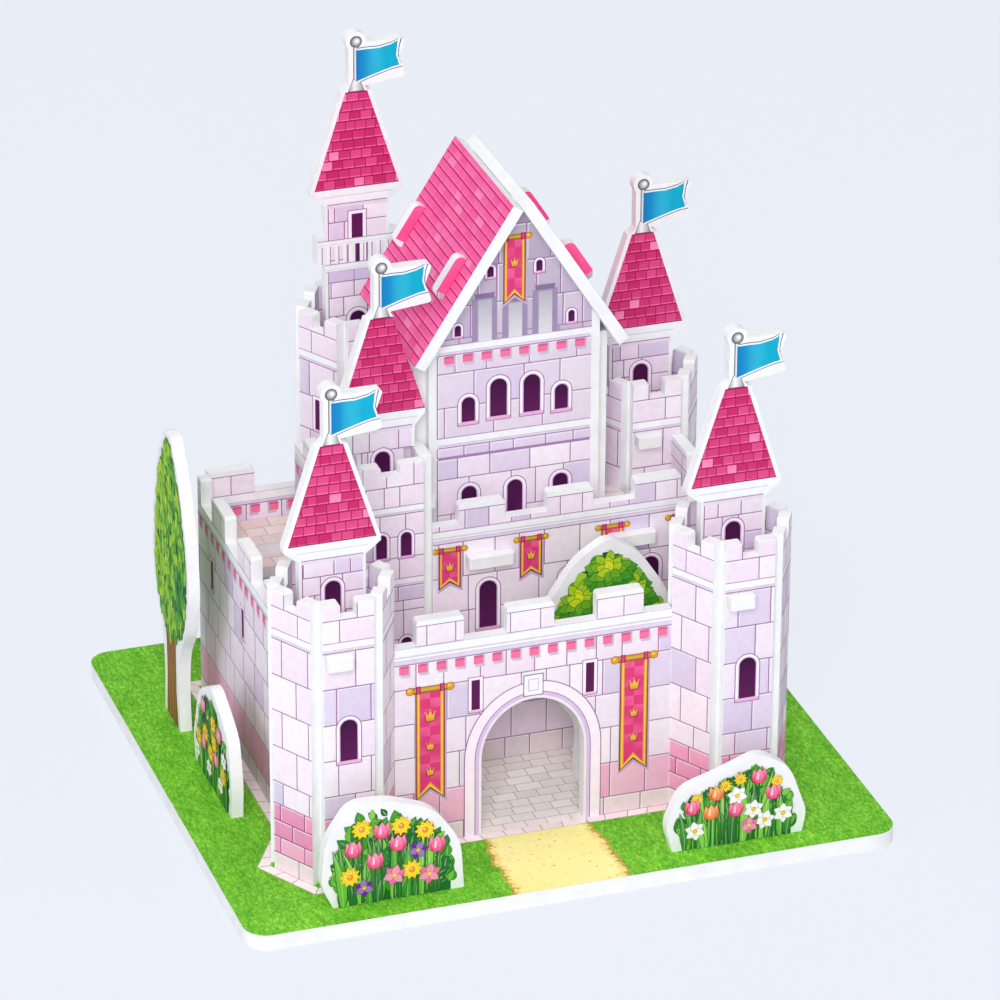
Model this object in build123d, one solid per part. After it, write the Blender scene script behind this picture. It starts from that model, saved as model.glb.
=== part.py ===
from build123d import *
import math
import os

# Foam board, its paper skin and the fit of tabs, all sizes in millimetres
board = 3.6
skin = 0.4
fit = 0.1
print_margin = 1.3
corner_round = 1.0

# Base board: thickness, corners, and the grass left round the towers
base_thickness = 5.0
base_corner = 7.0
front_lawn = 21.35
back_lawn = 15.25
left_lawn = 18.3
right_lawn = 22.86

# Foot tabs of the standing boards
foot_width = 8.0
foot_depth = 3.6

# Six-sided towers: printed width of a face, and the distances between the towers' axes
face_width = 15.3
tower_crenel_gap = 4.8
front_to_back_towers = 110.7
right_to_back_tower = 28.9
left_to_back_tower = 42.1
left_to_keep = 72.2
right_tower_from_keep = 1.8
front_right_inset = 0.5

# Heights of the floors: the front towers', the upper court's, and how far the others lie above it
front_floor_height = 80.8
court_floor_height = 76.0
right_floor_rise = 18.8
middle_floor_rise = 18.8
back_floor_rise = 37.4

# Crenels and merlons above each tower floor
tower_crenel_rise = 11.2
tower_merlon_rise = 16.0
middle_crenel_rise = 11.7
middle_merlon_rise = 15.2

# Floor tabs that show on the faces of the towers
floor_tab_start = 0.6
floor_tab_width = 7.7
floor_tab_length = 4.1
hidden_tab_width = 8.0
middle_tab_width = 5.0
middle_tab_reach = 2.2

# Outer walls: heights of the low walls, rise of the upper court's walls above its floor
low_crenel_height = 70.8
low_merlon_height = 79.0
upper_crenel_rise = 10.3
upper_merlon_rise = 16.5
left_wall_offset = 9.0
right_wall_offset = 8.5
merlon_width = 14.4
merlon_pitch = 27.6
gate_first_merlon = 6.7
left_first_merlon = 15.6
side_first_merlon = 9.0
inner_first_merlon = 8.0
back_left_merlon = 14.7
back_right_first_merlon = 9.0
right_low_merlon = 4.0
right_last_merlon = 13.0

# Gate arch
arch_x = -2.4
arch_half_width = 15.9
arch_spring = 30.0
arch_apex = 48.0

# Inner wall, square turret and upper court
upper_court_depth = 70.8
left_court_width = 26.6
middle_width = 22.3
middle_front_step = 2.6
middle_front_merlon_left = 5.6
middle_front_merlon_right = 7.2
middle_back_merlon = 5.0
court_tab_width = 14.2
court_tab_reach = 3.8
court_tab_left = 10.2
court_tab_right = 54.8

# Keep: place behind the inner wall, printed width of its front, gap to the tall tower, and roof
keep_set_back = 10.4
keep_front_width = 53.0
keep_back_gap = 0.65
roof_pitch = 57.5
eave_overhang = 3.0
eave_rise = 62.0
ridge_gap = 0.15
roof_front_overhang = 7.5
roof_back_overhang = 4.0
roof_tab_from_ridge = 22.0
roof_tab_length = 14.0
roof_tab_proud = 3.1
roof_tab_round = 2.0

# Spires: printed half widths, and heights above the tower floor and above the roof foot
spire_wall_half = 8.7
roof_foot_half = 13.2
roof_top_half = 3.4
spire_roof_height = 30.7
spire_wall_height = 28.0
tall_wall_height = 54.0
cornice_height = 5.2
cornice_lip = 1.6
cap_height = 3.6
cap_half = 2.4
pole_half = 1.0
ball_radius = 1.8
ball_above_foot = 46.5
flag_length = 14.2
flag_notch = 2.2
flag_tall = 12.6
flag_tip_tall = 9.6
middle_spire_roof_gap = 0.65
middle_spire_back_gap = 0.3
middle_stem_half = 6.6
balcony_half = 12.3
balcony_bottom = 30.0
balcony_top = 38.8

# Paved boards at the left, from the back forwards
terrace_height = 61.5
terrace_depth = 17.1
upper_step_depth = 8.0
lower_step_drop = 15.5
lower_step_depth = 18.0
lower_step_overlap = 7.5
terrace_tab_width = 6.0

# Standing plants: the printed faces' places from the base's edges and the inner wall
front_plant_inset = 9.0
left_plant_inset = 14.5
bush_from_inner_wall = 17.8
plant_foot_width = 12.0
outline_roundness = 0.33

# Values that follow from the ones above
inner_apothem = face_width * math.cos(math.radians(30))
outer_apothem = inner_apothem + board
vertex_reach = face_width + board * math.sin(math.radians(60))
keep_half = keep_front_width / 2
left_to_right_tower = left_to_keep + keep_half + board + right_tower_from_keep + vertex_reach
front_tower_spacing = left_to_right_tower - front_right_inset
base_width = left_lawn + 2 * vertex_reach + front_tower_spacing + right_lawn
base_depth = front_lawn + 2 * outer_apothem + front_to_back_towers + back_lawn
front_tower_y = -base_depth / 2 + front_lawn + outer_apothem
front_left_x = -base_width / 2 + left_lawn + vertex_reach
front_right_x = front_left_x + front_tower_spacing
right_tower_x = front_left_x + left_to_right_tower
back_tower_x = front_left_x + left_to_back_tower
back_tower_y = front_tower_y + front_to_back_towers
right_tower_y = back_tower_y - right_to_back_tower
left_wall_x = front_left_x - left_wall_offset
right_wall_x = right_tower_x + right_wall_offset
back_wall_inner_y = back_tower_y - board / 2

# Upper court, turret and keep
inner_wall_y = back_tower_y - upper_court_depth
middle_left_x = left_wall_x + board + left_court_width
middle_inner_left_x = middle_left_x + board
middle_right_x = middle_left_x + middle_width
middle_front_y = inner_wall_y - middle_front_step
keep_x = front_left_x + left_to_keep
keep_front_y = inner_wall_y + keep_set_back
keep_depth = back_tower_y - outer_apothem - keep_back_gap - keep_front_y
middle_back_y = keep_front_y + board
upper_crenel = court_floor_height + upper_crenel_rise
upper_merlon = court_floor_height + upper_merlon_rise
court_floor_under = court_floor_height - board
right_floor_height = court_floor_height + right_floor_rise
middle_floor_height = court_floor_height + middle_floor_rise
back_floor_height = court_floor_height + back_floor_rise

# Roof
slope_angle = math.radians(roof_pitch)
eave_height = court_floor_height + eave_rise
eave_reach = keep_half + board + eave_overhang
ridge_height = eave_height + eave_reach * math.tan(slope_angle)
under_roof = board / math.cos(slope_angle)
keep_top = ridge_height - under_roof - (keep_half + board) * math.tan(slope_angle)

# Turret spire, which stands clear of the roof's eave
middle_spire_foot = middle_floor_height + spire_wall_height
spire_taper = (roof_foot_half - roof_top_half) / spire_roof_height
middle_spire_half = roof_foot_half - spire_taper * (eave_height - middle_spire_foot)
middle_spire_x = keep_x - eave_reach - middle_spire_roof_gap - middle_spire_half
middle_inside_x = (middle_inner_left_x + middle_right_x - board) / 2

# Paved boards and plants
terrace_front_y = back_wall_inner_y - terrace_depth
upper_step_front_y = terrace_front_y - upper_step_depth
lower_step_top = terrace_height - lower_step_drop
lower_step_front_y = upper_step_front_y + lower_step_overlap - lower_step_depth
front_flowers_y = -base_depth / 2 + front_plant_inset
left_plants_x = -base_width / 2 + left_plant_inset
bush_y = inner_wall_y - bush_from_inner_wall

floor_holes = {"base_board": [], "upper_floor": []}


def along(angle):
    """Unit step along a wall whose printed side looks to the given angle, 0 being the front."""
    return Vector(math.cos(math.radians(angle)), math.sin(math.radians(angle)))


def outward(angle):
    """Unit step out of the printed side of that wall."""
    return Vector(math.sin(math.radians(angle)), -math.cos(math.radians(angle)))


def stand(point, angle):
    """Frame of a standing board: x along it, y into the foam, z up."""
    return Pos(point.X, point.Y, 0) * Rot(0, 0, angle)


def block(left, right, low, high):
    """Rectangle between two places along a board and two heights."""
    return Pos((left + right) / 2, (low + high) / 2) * Rectangle(right - left, high - low)


def raise_board(sketch, thickness=board):
    """Give a drawing of the printed side its thickness, into the foam."""
    return extrude(Plane.XZ * sketch, amount=-thickness)


def merlon_row(length, first):
    """Merlons at an even pitch that fit wholly on a wall of the given length."""
    count = int((length - first - merlon_width) / merlon_pitch + 1)
    starts = [first + merlon_pitch * index for index in range(count)]
    return [(start, start + merlon_width) for start in starts]


def tower_merlons():
    """Two merlons that run round the folds, with one crenel between them."""
    merlon = (face_width - tower_crenel_gap) / 2
    return [(0, merlon), (face_width - merlon, face_width)]


class Panel:
    """One flat stretch of a folded board, from its foot to its merlons."""

    def __init__(self, length, crenel, top, merlons, turn=0, foot=base_thickness):
        self.length = length
        self.crenel = crenel
        self.top = top
        self.merlons = merlons
        self.turn = turn
        self.foot = foot
        count = 2 if length > 3 * foot_width else 1
        self.feet = [length * (index + 0.5) / count for index in range(count)]
        self.slots = []
        self.raised = []
        self.opening = None

    def end_height(self, place):
        """Height of the board at one of its ends."""
        for left, right in self.merlons:
            if left <= place <= right:
                return self.top
        return self.crenel

    def drawing(self):
        """Outline of the panel as it is punched, with its slots and feet."""
        outline = block(0, self.length, self.foot, self.crenel)
        for left, right in self.merlons:
            outline += block(left, right, self.crenel - 1, self.top)
        for left, right, height in self.raised:
            outline += block(left, right, self.crenel - 1, height)
        for place in self.feet:
            outline += block(place - foot_width / 2, place + foot_width / 2, self.foot - foot_depth, self.foot)
        edge = 0.01
        corners = [
            corner
            for corner in outline.vertices()
            if corner.Y > self.top - edge and edge < corner.X < self.length - edge
        ]
        if corners:
            outline = fillet(corners, corner_round)
        for left, right, low, high in self.slots:
            outline -= block(left - fit, right + fit, low - fit, high + fit)
        if self.opening is not None:
            outline -= self.opening
        return outline


def folded_board(start, angle, panels, carrier="base_board"):
    """Join panels along their folds, each fold being a slit that leaves the paper skin whole."""
    result = None
    point = start
    for index, panel in enumerate(panels):
        place = stand(point, angle)
        piece = place * raise_board(panel.drawing())
        result = piece if result is None else result + piece
        for foot in panel.feet:
            hole = block(foot - foot_width / 2 - fit, foot + foot_width / 2 + fit, -1, panel.foot + 1)
            floor_holes[carrier].append(place * Pos(0, -fit, 0) * raise_board(hole, board + 2 * fit))
        end = point + along(angle) * panel.length
        if index == len(panels) - 1:
            break
        after = panels[index + 1]
        height = min(panel.end_height(panel.length), after.end_height(0))
        new_angle = angle + panel.turn
        if panel.turn > 0:
            hinge = end - outward(angle) * board
            sides = [hinge, hinge + outward(angle) * skin, hinge + outward(new_angle) * skin]
            point = hinge + outward(new_angle) * board
        else:
            hinge = end
            sides = [hinge, hinge - outward(angle) * skin, hinge - outward(new_angle) * skin]
            point = end
        skin_face = make_face(Polyline(*[(side.X, side.Y) for side in sides], close=True))
        result += Pos(0, 0, panel.foot) * extrude(skin_face, amount=height - panel.foot)
        angle = new_angle
    return result


def tower_panel(turn, floor_height):
    """One face of a six-sided tower."""
    crenel = floor_height + tower_crenel_rise
    top = floor_height + tower_merlon_rise
    return Panel(face_width, crenel, top, tower_merlons(), turn)


def add_floor_tab(panel, floor_height, left, width):
    """Slot in a panel for a tab of the tower floor."""
    panel.slots.append((left, left + width, floor_height - board, floor_height))


def tower_faces(floor_height, last_turn, front=True):
    """Three faces in a row, the middle one slotted for the floor tab. Rear faces have one foot."""
    faces = [tower_panel(60, floor_height), tower_panel(60, floor_height), tower_panel(last_turn, floor_height)]
    if front:
        faces[1].feet = []
        add_floor_tab(faces[1], floor_height, floor_tab_start, floor_tab_width)
    else:
        faces[0].feet = []
        faces[2].feet = []
        add_floor_tab(faces[1], floor_height, (face_width - hidden_tab_width) / 2, hidden_tab_width)
    return faces


def tower_start(x, y, angle):
    """Outer corner where the three faces start whose first looks to the given angle."""
    return Vector(x, y) + outward(angle) * outer_apothem - along(angle) * (face_width / 2)


def make_front_board():
    """Gate wall with three faces of a tower at each end."""
    gate_left_x = front_left_x + vertex_reach
    gate_length = front_right_x - vertex_reach - gate_left_x
    gate_merlons = merlon_row(gate_length, gate_first_merlon)
    gate = Panel(gate_length, low_crenel_height, low_merlon_height, gate_merlons, -60)
    gate.feet = [foot_width, gate_length - foot_width]
    arch_place = arch_x - gate_left_x
    arch = Pos(arch_place, arch_spring) * Ellipse(arch_half_width, arch_apex - arch_spring)
    doorway = block(arch_place - arch_half_width, arch_place + arch_half_width, 0, arch_spring)
    gate.opening = arch + doorway
    panels = tower_faces(front_floor_height, -60) + [gate] + tower_faces(front_floor_height, 0)
    return folded_board(tower_start(front_left_x, front_tower_y, -60), -60, panels)


def make_tower_back(x):
    """Three rear faces of a front tower."""
    panels = tower_faces(front_floor_height, 0, front=False)
    return folded_board(tower_start(x, front_tower_y, 120), 120, panels)


def make_rear_board():
    """Left wall, back wall, the rear of the tall tower and the short wall at the back right."""
    start_y = right_tower_y + outer_apothem + fit
    short_length = back_wall_inner_y - start_y
    short_wall = Panel(short_length, upper_crenel, upper_merlon, [], 90)
    right_length = right_wall_x - board - back_tower_x - vertex_reach
    back_right = Panel(
        right_length, upper_crenel, upper_merlon, merlon_row(right_length, back_right_first_merlon), -60
    )
    left_length = back_tower_x - vertex_reach - left_wall_x - board
    back_left = Panel(left_length, low_crenel_height, low_merlon_height, [(back_left_merlon, left_length)], 90)
    side_length = back_wall_inner_y - (front_tower_y + outer_apothem + fit)
    side_merlons = [(0, board)] + merlon_row(side_length, left_first_merlon)
    left_wall = Panel(side_length, low_crenel_height, low_merlon_height, side_merlons)
    tower = tower_faces(back_floor_height, -60, front=False)
    panels = [short_wall, back_right] + tower + [back_left, left_wall]
    return folded_board(Vector(right_wall_x, start_y), 90, panels)


def make_tower_back_left_front():
    """Three faces of the tall tower that look into the castle."""
    panels = tower_faces(back_floor_height, 0, front=False)
    return folded_board(tower_start(back_tower_x, back_tower_y, -60), -60, panels)


def make_tower_right():
    """Closed tower with its seam at the back left."""
    panels = tower_faces(right_floor_height, 60) + tower_faces(right_floor_height, 60, front=False)
    panels[5].length -= fit
    panels[5].merlons[1] = (panels[5].merlons[1][0], panels[5].length)
    return folded_board(tower_start(right_tower_x, right_tower_y, -60), -60, panels)


def make_right_wall():
    """Outer wall from the front right tower to the right tower, raised beside the upper court."""
    start_y = front_tower_y + outer_apothem + fit
    length = right_tower_y - outer_apothem - fit - start_y
    court_start = inner_wall_y - start_y
    merlon = (right_low_merlon, right_low_merlon + right_last_merlon)
    wall = Panel(length, low_crenel_height, low_merlon_height, [merlon])
    wall.raised = [(court_start, length, upper_crenel), (length - right_last_merlon, length, upper_merlon)]
    return folded_board(Vector(right_wall_x, start_y), 90, [wall])


def make_tower_middle():
    """Square turret: front, right side and back, folded at right angles."""
    crenel = middle_floor_height + middle_crenel_rise
    top = middle_floor_height + middle_merlon_rise
    front_length = middle_right_x - board - middle_left_x
    front_merlons = [(0, middle_front_merlon_left), (front_length - middle_front_merlon_right, front_length)]
    front = Panel(front_length, crenel, top, front_merlons, 90)
    side_length = middle_back_y - middle_front_y - 2 * board
    side = Panel(side_length, crenel, top, [(0, side_length)], 90)
    side_middle = side_length / 2
    add_floor_tab(side, middle_floor_height, side_middle - middle_tab_width / 2, middle_tab_width)
    back_length = middle_right_x - board - middle_inner_left_x - fit
    back_merlons = [(0, middle_back_merlon), (back_length - middle_back_merlon, back_length)]
    back = Panel(back_length, crenel, top, back_merlons)
    return folded_board(Vector(middle_left_x, middle_front_y), 0, [front, side, back])


def side_wall_end():
    """Where the upper side wall meets the slanted face of the tall tower."""
    tower_left_x = back_tower_x - vertex_reach
    return back_wall_inner_y - (middle_inner_left_x - tower_left_x) * math.tan(math.radians(60)) - fit


def terrace_slots():
    """Middle and top of each paved board's tab in the upper side wall."""
    return [
        ((terrace_front_y + side_wall_end()) / 2, terrace_height),
        (upper_step_front_y + terrace_tab_width, terrace_height - board),
        (lower_step_front_y + lower_step_depth / 2, lower_step_top),
    ]


def make_upper_side_wall():
    """Wall of the upper court behind the turret, slotted for the paved boards."""
    start_y = side_wall_end()
    length = start_y - middle_front_y - board - fit
    wall = Panel(length, upper_crenel, upper_merlon, merlon_row(length, side_first_merlon))
    for middle_y, top in terrace_slots():
        place = start_y - middle_y
        wall.slots.append((place - terrace_tab_width / 2, place + terrace_tab_width / 2, top - board, top))
    return folded_board(Vector(middle_left_x, start_y), 270, [wall])


def court_tabs():
    """Places along the inner wall where the tabs of the upper floor come through."""
    return [(left, left + court_tab_width) for left in (court_tab_left, court_tab_right)]


def make_inner_wall():
    """Wall behind the gate court, slotted for the upper floor."""
    start_x = middle_right_x + fit
    length = right_wall_x - board - fit - start_x
    wall = Panel(length, upper_crenel, upper_merlon, merlon_row(length, inner_first_merlon))
    for left, right in court_tabs():
        wall.slots.append((left, right, court_floor_under, court_floor_height))
    return folded_board(Vector(start_x, inner_wall_y), 0, [wall])


def hexagon(apothem):
    """Regular hexagon with a flat side to the front."""
    return RegularPolygon(radius=apothem / math.cos(math.radians(30)), side_count=6)


def make_upper_floor():
    """Floor of the upper court, cut out for the towers and slotted for the keep."""
    front_y = inner_wall_y + board + fit
    back_y = back_wall_inner_y - fit
    left_x = middle_inner_left_x + fit
    right_x = right_wall_x - board - fit
    outline = block(left_x, right_x, front_y, back_y)
    outline -= block(left_x - 1, middle_right_x + fit, front_y - 1, middle_back_y + fit)
    outline -= Pos(right_tower_x, right_tower_y) * hexagon(outer_apothem + fit)
    outline -= Pos(back_tower_x, back_tower_y) * hexagon(outer_apothem + fit)
    outline -= block(right_tower_x, right_x + 1, right_tower_y, right_tower_y + outer_apothem + fit)
    tab_start_x = middle_right_x + fit
    tab_front_y = inner_wall_y - court_tab_reach
    for left, right in court_tabs():
        outline += block(tab_start_x + left, tab_start_x + right, tab_front_y, front_y + 1)
    tips = [corner for corner in outline.vertices() if corner.Y < tab_front_y + 0.01]
    outline = fillet(tips, corner_round)
    floor = Pos(0, 0, court_floor_under) * extrude(outline, amount=board)
    for hole in floor_holes["upper_floor"]:
        floor -= hole
    return floor


def gable_drawing(half_width, foot_half_width):
    """Gable up to the underside of the roof, with one tab through each slope."""
    peak = ridge_height - under_roof
    shoulder = peak - half_width * math.tan(slope_angle)
    outline = block(-half_width, half_width, court_floor_height, shoulder)
    outline += make_face(Polyline((-half_width, shoulder), (half_width, shoulder), (0, peak), close=True))
    for side in (-1, 1):
        tab_middle = roof_tab_from_ridge + roof_tab_length / 2
        tab_height = board + roof_tab_proud
        tab = Rectangle(roof_tab_length, 2 * tab_height)
        tab = fillet(tab.vertices(), roof_tab_round)
        across = tab_middle * math.cos(slope_angle)
        drop = tab_middle * math.sin(slope_angle)
        outline += Pos(side * across, peak - drop) * Rot(0, 0, -side * roof_pitch) * tab
    for place in (-foot_half_width, foot_half_width):
        foot_left = place - foot_width / 2
        outline += block(foot_left, foot_left + foot_width, court_floor_height - foot_depth, court_floor_height)
    return outline


def make_keep_walls():
    """Front gable with the two side walls folded back at right angles."""
    side_length = keep_depth - board
    start = Vector(keep_x - keep_half - board, keep_front_y + keep_depth)
    left = Panel(side_length, keep_top, keep_top, [], 90, court_floor_height)
    front = Panel(keep_front_width, keep_top, keep_top, [], 90, court_floor_height)
    right = Panel(side_length, keep_top, keep_top, [], 0, court_floor_height)
    walls = folded_board(start, 270, [left, front, right], "upper_floor")
    gable = gable_drawing(keep_half, keep_half / 2)
    return walls + Pos(keep_x, keep_front_y, 0) * raise_board(gable)


def make_keep_back_gable():
    """Second gable, standing between the side walls."""
    place = Pos(keep_x, keep_front_y + keep_depth - board, 0)
    hole = block(-foot_width / 2 - fit, foot_width / 2 + fit, court_floor_under - 1, court_floor_height + 1)
    for foot in (-keep_half / 2, keep_half / 2):
        slot = raise_board(hole, board + 2 * fit)
        floor_holes["upper_floor"].append(place * Pos(foot, -fit, 0) * slot)
    return place * raise_board(gable_drawing(keep_half - fit, keep_half / 2))


def make_roof_panel(side):
    """One slope of the roof, from its eave to the ridge, slotted for the gable tabs."""
    slope = (eave_reach - board * math.sin(slope_angle)) / math.cos(slope_angle) - ridge_gap
    sheet = block(0, slope, -keep_front_y - keep_depth - roof_back_overhang, roof_front_overhang - keep_front_y)
    length = eave_reach / math.cos(slope_angle)
    rise = board * math.tan(slope_angle)
    tab_far = length - rise - roof_tab_from_ridge
    gables = (keep_front_y, keep_front_y + keep_depth - board)
    for gable_y in gables:
        low = -gable_y - board - fit
        sheet -= block(tab_far - roof_tab_length - fit, tab_far + fit, low, low + board + 2 * fit)
    panel = extrude(sheet, amount=-board)
    placed = Rot(0, -roof_pitch, 0) * mirror(panel, Plane.XZ)
    placed = Pos(-eave_reach, 0, eave_height) * placed
    if side > 0:
        placed = mirror(placed, Plane.YZ)
    return Pos(keep_x, 0, 0) * placed


def make_roof_left():
    """Left slope, which meets the right one at the lower edges of their ends."""
    return make_roof_panel(-1)


def make_roof_right():
    """Right slope."""
    return make_roof_panel(1)


def make_tower_floor(x, y, height, front_reach, spire_slot):
    """Six-sided floor with a tab through its front face and one through its back face."""
    outline = hexagon(inner_apothem - fit)
    if front_reach > 0:
        left = floor_tab_start - face_width / 2
        width = floor_tab_width
    else:
        left = -hidden_tab_width / 2
        width = hidden_tab_width
    front_y = -outer_apothem - front_reach
    tab = block(left, left + width, front_y, -inner_apothem / 2)
    if front_reach > 0:
        tips = [corner for corner in tab.vertices() if corner.Y < front_y + 0.01]
        tab = fillet(tips, corner_round)
    outline += tab
    outline += block(-hidden_tab_width / 2, hidden_tab_width / 2, inner_apothem / 2, outer_apothem)
    outline -= Pos(spire_slot, 0) * Rectangle(foot_width + 2 * fit, board + 2 * fit)
    return Pos(x, y, height - board) * extrude(outline, amount=board)


def middle_spire_y():
    """Front face of the turret's spire, which stands just before the turret's back."""
    return middle_back_y - board - middle_spire_back_gap - board


def make_middle_floor():
    """Floor of the square turret with its tab through the right side."""
    left_x = middle_inner_left_x + fit
    right_x = middle_right_x - board - fit
    front_y = middle_front_y + board + fit
    back_y = middle_back_y - board - fit
    outline = block(left_x, right_x, front_y, back_y)
    middle_y = (middle_front_y + middle_back_y) / 2
    tip_x = middle_right_x + middle_tab_reach
    tab = block(right_x - 1, tip_x, middle_y - middle_tab_width / 2, middle_y + middle_tab_width / 2)
    tips = [corner for corner in tab.vertices() if corner.X > tip_x - 0.01]
    outline += fillet(tips, corner_round)
    slot_y = middle_spire_y() + board / 2
    slot = Pos(middle_spire_x, slot_y) * Rectangle(foot_width + 2 * fit, board + 2 * fit)
    return Pos(0, 0, middle_floor_height - board) * extrude(outline - slot, amount=board)


def flag_drawing(foot):
    """Pole, ball and swallow-tail flag with the white edge of the print round them."""
    ball = foot + ball_above_foot
    top = ball - ball_radius + print_margin
    bottom = ball - ball_radius - flag_tall
    tip_bottom = ball - ball_radius - flag_tip_tall - print_margin
    far = flag_length + print_margin
    notch_x = far - flag_notch
    notch_height = (top + tip_bottom) / 2
    flag = make_face(
        Polyline((0, top), (far, top), (notch_x, notch_height), (far, tip_bottom), (0, bottom), close=True)
    )
    tips = [corner for corner in flag.vertices() if corner.X > far - 0.01]
    flag = fillet(tips, corner_round)
    pole_edge = pole_half + print_margin
    pole = block(-pole_edge, pole_edge, foot + spire_roof_height, ball)
    knob = Pos(0, ball) * Circle(ball_radius + print_margin)
    return flag + pole + knob


def spire_drawing(wall_height, right_margin=print_margin, stem_half=0, balcony=False):
    """Spire board from its foot tab to its flag, drawn from the tower floor up."""
    wall = spire_wall_half + print_margin
    foot = wall_height
    top = foot + spire_roof_height
    left_foot = -roof_foot_half - print_margin
    right_foot = roof_foot_half + right_margin
    left_top = -roof_top_half - print_margin
    right_top = roof_top_half + right_margin
    cornice = foot - cornice_height
    body = block(-wall, wall, 0, cornice)
    if stem_half > 0:
        lower = tower_merlon_rise
        body = block(-stem_half, stem_half, 0, lower) + block(-wall, wall, lower, cornice)
    body += make_face(
        Polyline(
            (-wall, cornice),
            (wall, cornice),
            (right_foot, foot - cornice_lip),
            (right_foot, foot),
            (right_top, top),
            (left_top, top),
            (left_foot, foot),
            (left_foot, foot - cornice_lip),
            close=True,
        )
    )
    cap_edge = cap_half + print_margin
    cap_top = top + cap_height
    body += make_face(
        Polyline((-cap_edge, top), (cap_edge, top), (pole_half, cap_top), (-pole_half, cap_top), close=True)
    )
    body += flag_drawing(foot)
    if balcony:
        rail = balcony_half + print_margin / 2
        body += block(-rail, rail, balcony_bottom, balcony_top)
    body += block(-foot_width / 2, foot_width / 2, -foot_depth, 0)
    return body


def make_spire(x, front_y, height, drawing):
    """Stand a spire board on a tower floor."""
    return Pos(x, front_y, height) * raise_board(drawing)


def make_paved_board(top, front_y, back_y, tab_y):
    """Paved board between the left wall and the upper side wall, tabbed into the latter."""
    left_x = left_wall_x + board + fit
    right_x = middle_left_x - fit
    outline = block(left_x, right_x, front_y, back_y)
    tab_front_y = tab_y - terrace_tab_width / 2
    outline += block(right_x - 1, middle_left_x + board, tab_front_y, tab_front_y + terrace_tab_width)
    return Pos(0, 0, top - board) * extrude(outline, amount=board)


def rounded_line(points):
    """Line through the points with each corner as round as the runs beside it allow."""
    places = [Vector(*point) for point in points]
    radii = []
    for before, corner, after in zip(places, places[1:], places[2:]):
        run_in = corner - before
        run_out = after - corner
        half_turn = math.radians(run_in.get_angle(run_out)) / 2
        radii.append(outline_roundness * min(run_in.length, run_out.length) / math.tan(half_turn))
    return FilletPolyline(*points, radius=radii)


def plant_drawing(points, foot_middle):
    """Rounded outline of a standing plant, flat at its foot, with a tab below."""
    outline = make_face(rounded_line(points) + Line(points[-1], points[0]))
    left = foot_middle - plant_foot_width / 2
    right = foot_middle + plant_foot_width / 2
    outline += block(left, right, base_thickness - foot_depth, base_thickness + 1)
    return outline


def make_plant(drawing, point, angle, foot_middle):
    """Stand a plant board and note its slot in the base."""
    place = stand(point, angle)
    half = plant_foot_width / 2 + fit
    hole = block(foot_middle - half, foot_middle + half, -1, base_thickness + 1)
    floor_holes["base_board"].append(place * Pos(0, -fit, 0) * raise_board(hole, board + 2 * fit))
    return place * raise_board(drawing)


def make_plants():
    """The five standing plants, each outline running from its left foot over the top."""
    ground = base_thickness
    front_left = [
        (-72.3, ground), (-75.9, 13), (-74.6, 27), (-67, 38.2),
        (-55.5, 37.8), (-41.7, 32.7), (-33.6, 21), (-32.6, ground),
    ]
    front_right = [
        (31.6, ground), (29.3, 14), (34.1, 25.3), (46, 28.8),
        (58.5, 33.8), (68, 27.5), (73.6, 12), (72.3, ground),
    ]
    left = [
        (-16.9, ground), (-18.4, 13), (-12, 31), (0.7, 38.7),
        (10.5, 34.8), (19.5, 30), (23, 17), (22.2, ground),
    ]
    tree = [
        (-50.9, ground), (-49.6, 18), (-50.8, 31), (-58.4, 42), (-61.2, 57), (-58.6, 74),
        (-52.6, 91), (-44.4, 102.6), (-37.6, 102.4), (-29.4, 91), (-22.8, 74), (-20.6, 57),
        (-24.4, 43), (-32.6, 32), (-34.6, 18), (-33.2, ground),
    ]
    bush = [
        (19.4, ground), (20.5, 22), (12, 34), (5, 46), (9.6, 64), (19, 78), (29.2, 84.4), (38.8, 78),
        (47.6, 64.5), (53.5, 46), (47, 33), (39.2, 21), (39.6, ground),
    ]
    front_left_foot = (front_left[0][0] + front_left[-1][0]) / 2
    front_right_foot = (front_right[0][0] + front_right[-1][0]) / 2
    left_foot = (left[0][0] + left[-1][0]) / 2
    tree_foot = (tree[0][0] + tree[-1][0]) / 2
    bush_foot = (bush[0][0] + bush[-1][0]) / 2
    front = Vector(0, front_flowers_y)
    side = Vector(left_plants_x, 0)
    return {
        "flowers_front_left": make_plant(plant_drawing(front_left, front_left_foot), front, 0, front_left_foot),
        "flowers_front_right": make_plant(plant_drawing(front_right, front_right_foot), front, 0, front_right_foot),
        "flowers_left": make_plant(plant_drawing(left, left_foot), side, 270, left_foot),
        "tree": make_plant(plant_drawing(tree, tree_foot), side, 270, tree_foot),
        "bush": make_plant(plant_drawing(bush, bush_foot), Vector(0, bush_y), 0, bush_foot),
    }


def make_base_board():
    """Base with rounded corners and a slot for each foot."""
    outline = RectangleRounded(base_width, base_depth, base_corner)
    base = extrude(outline, amount=base_thickness)
    for hole in floor_holes["base_board"]:
        base -= hole
    return base


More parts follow.
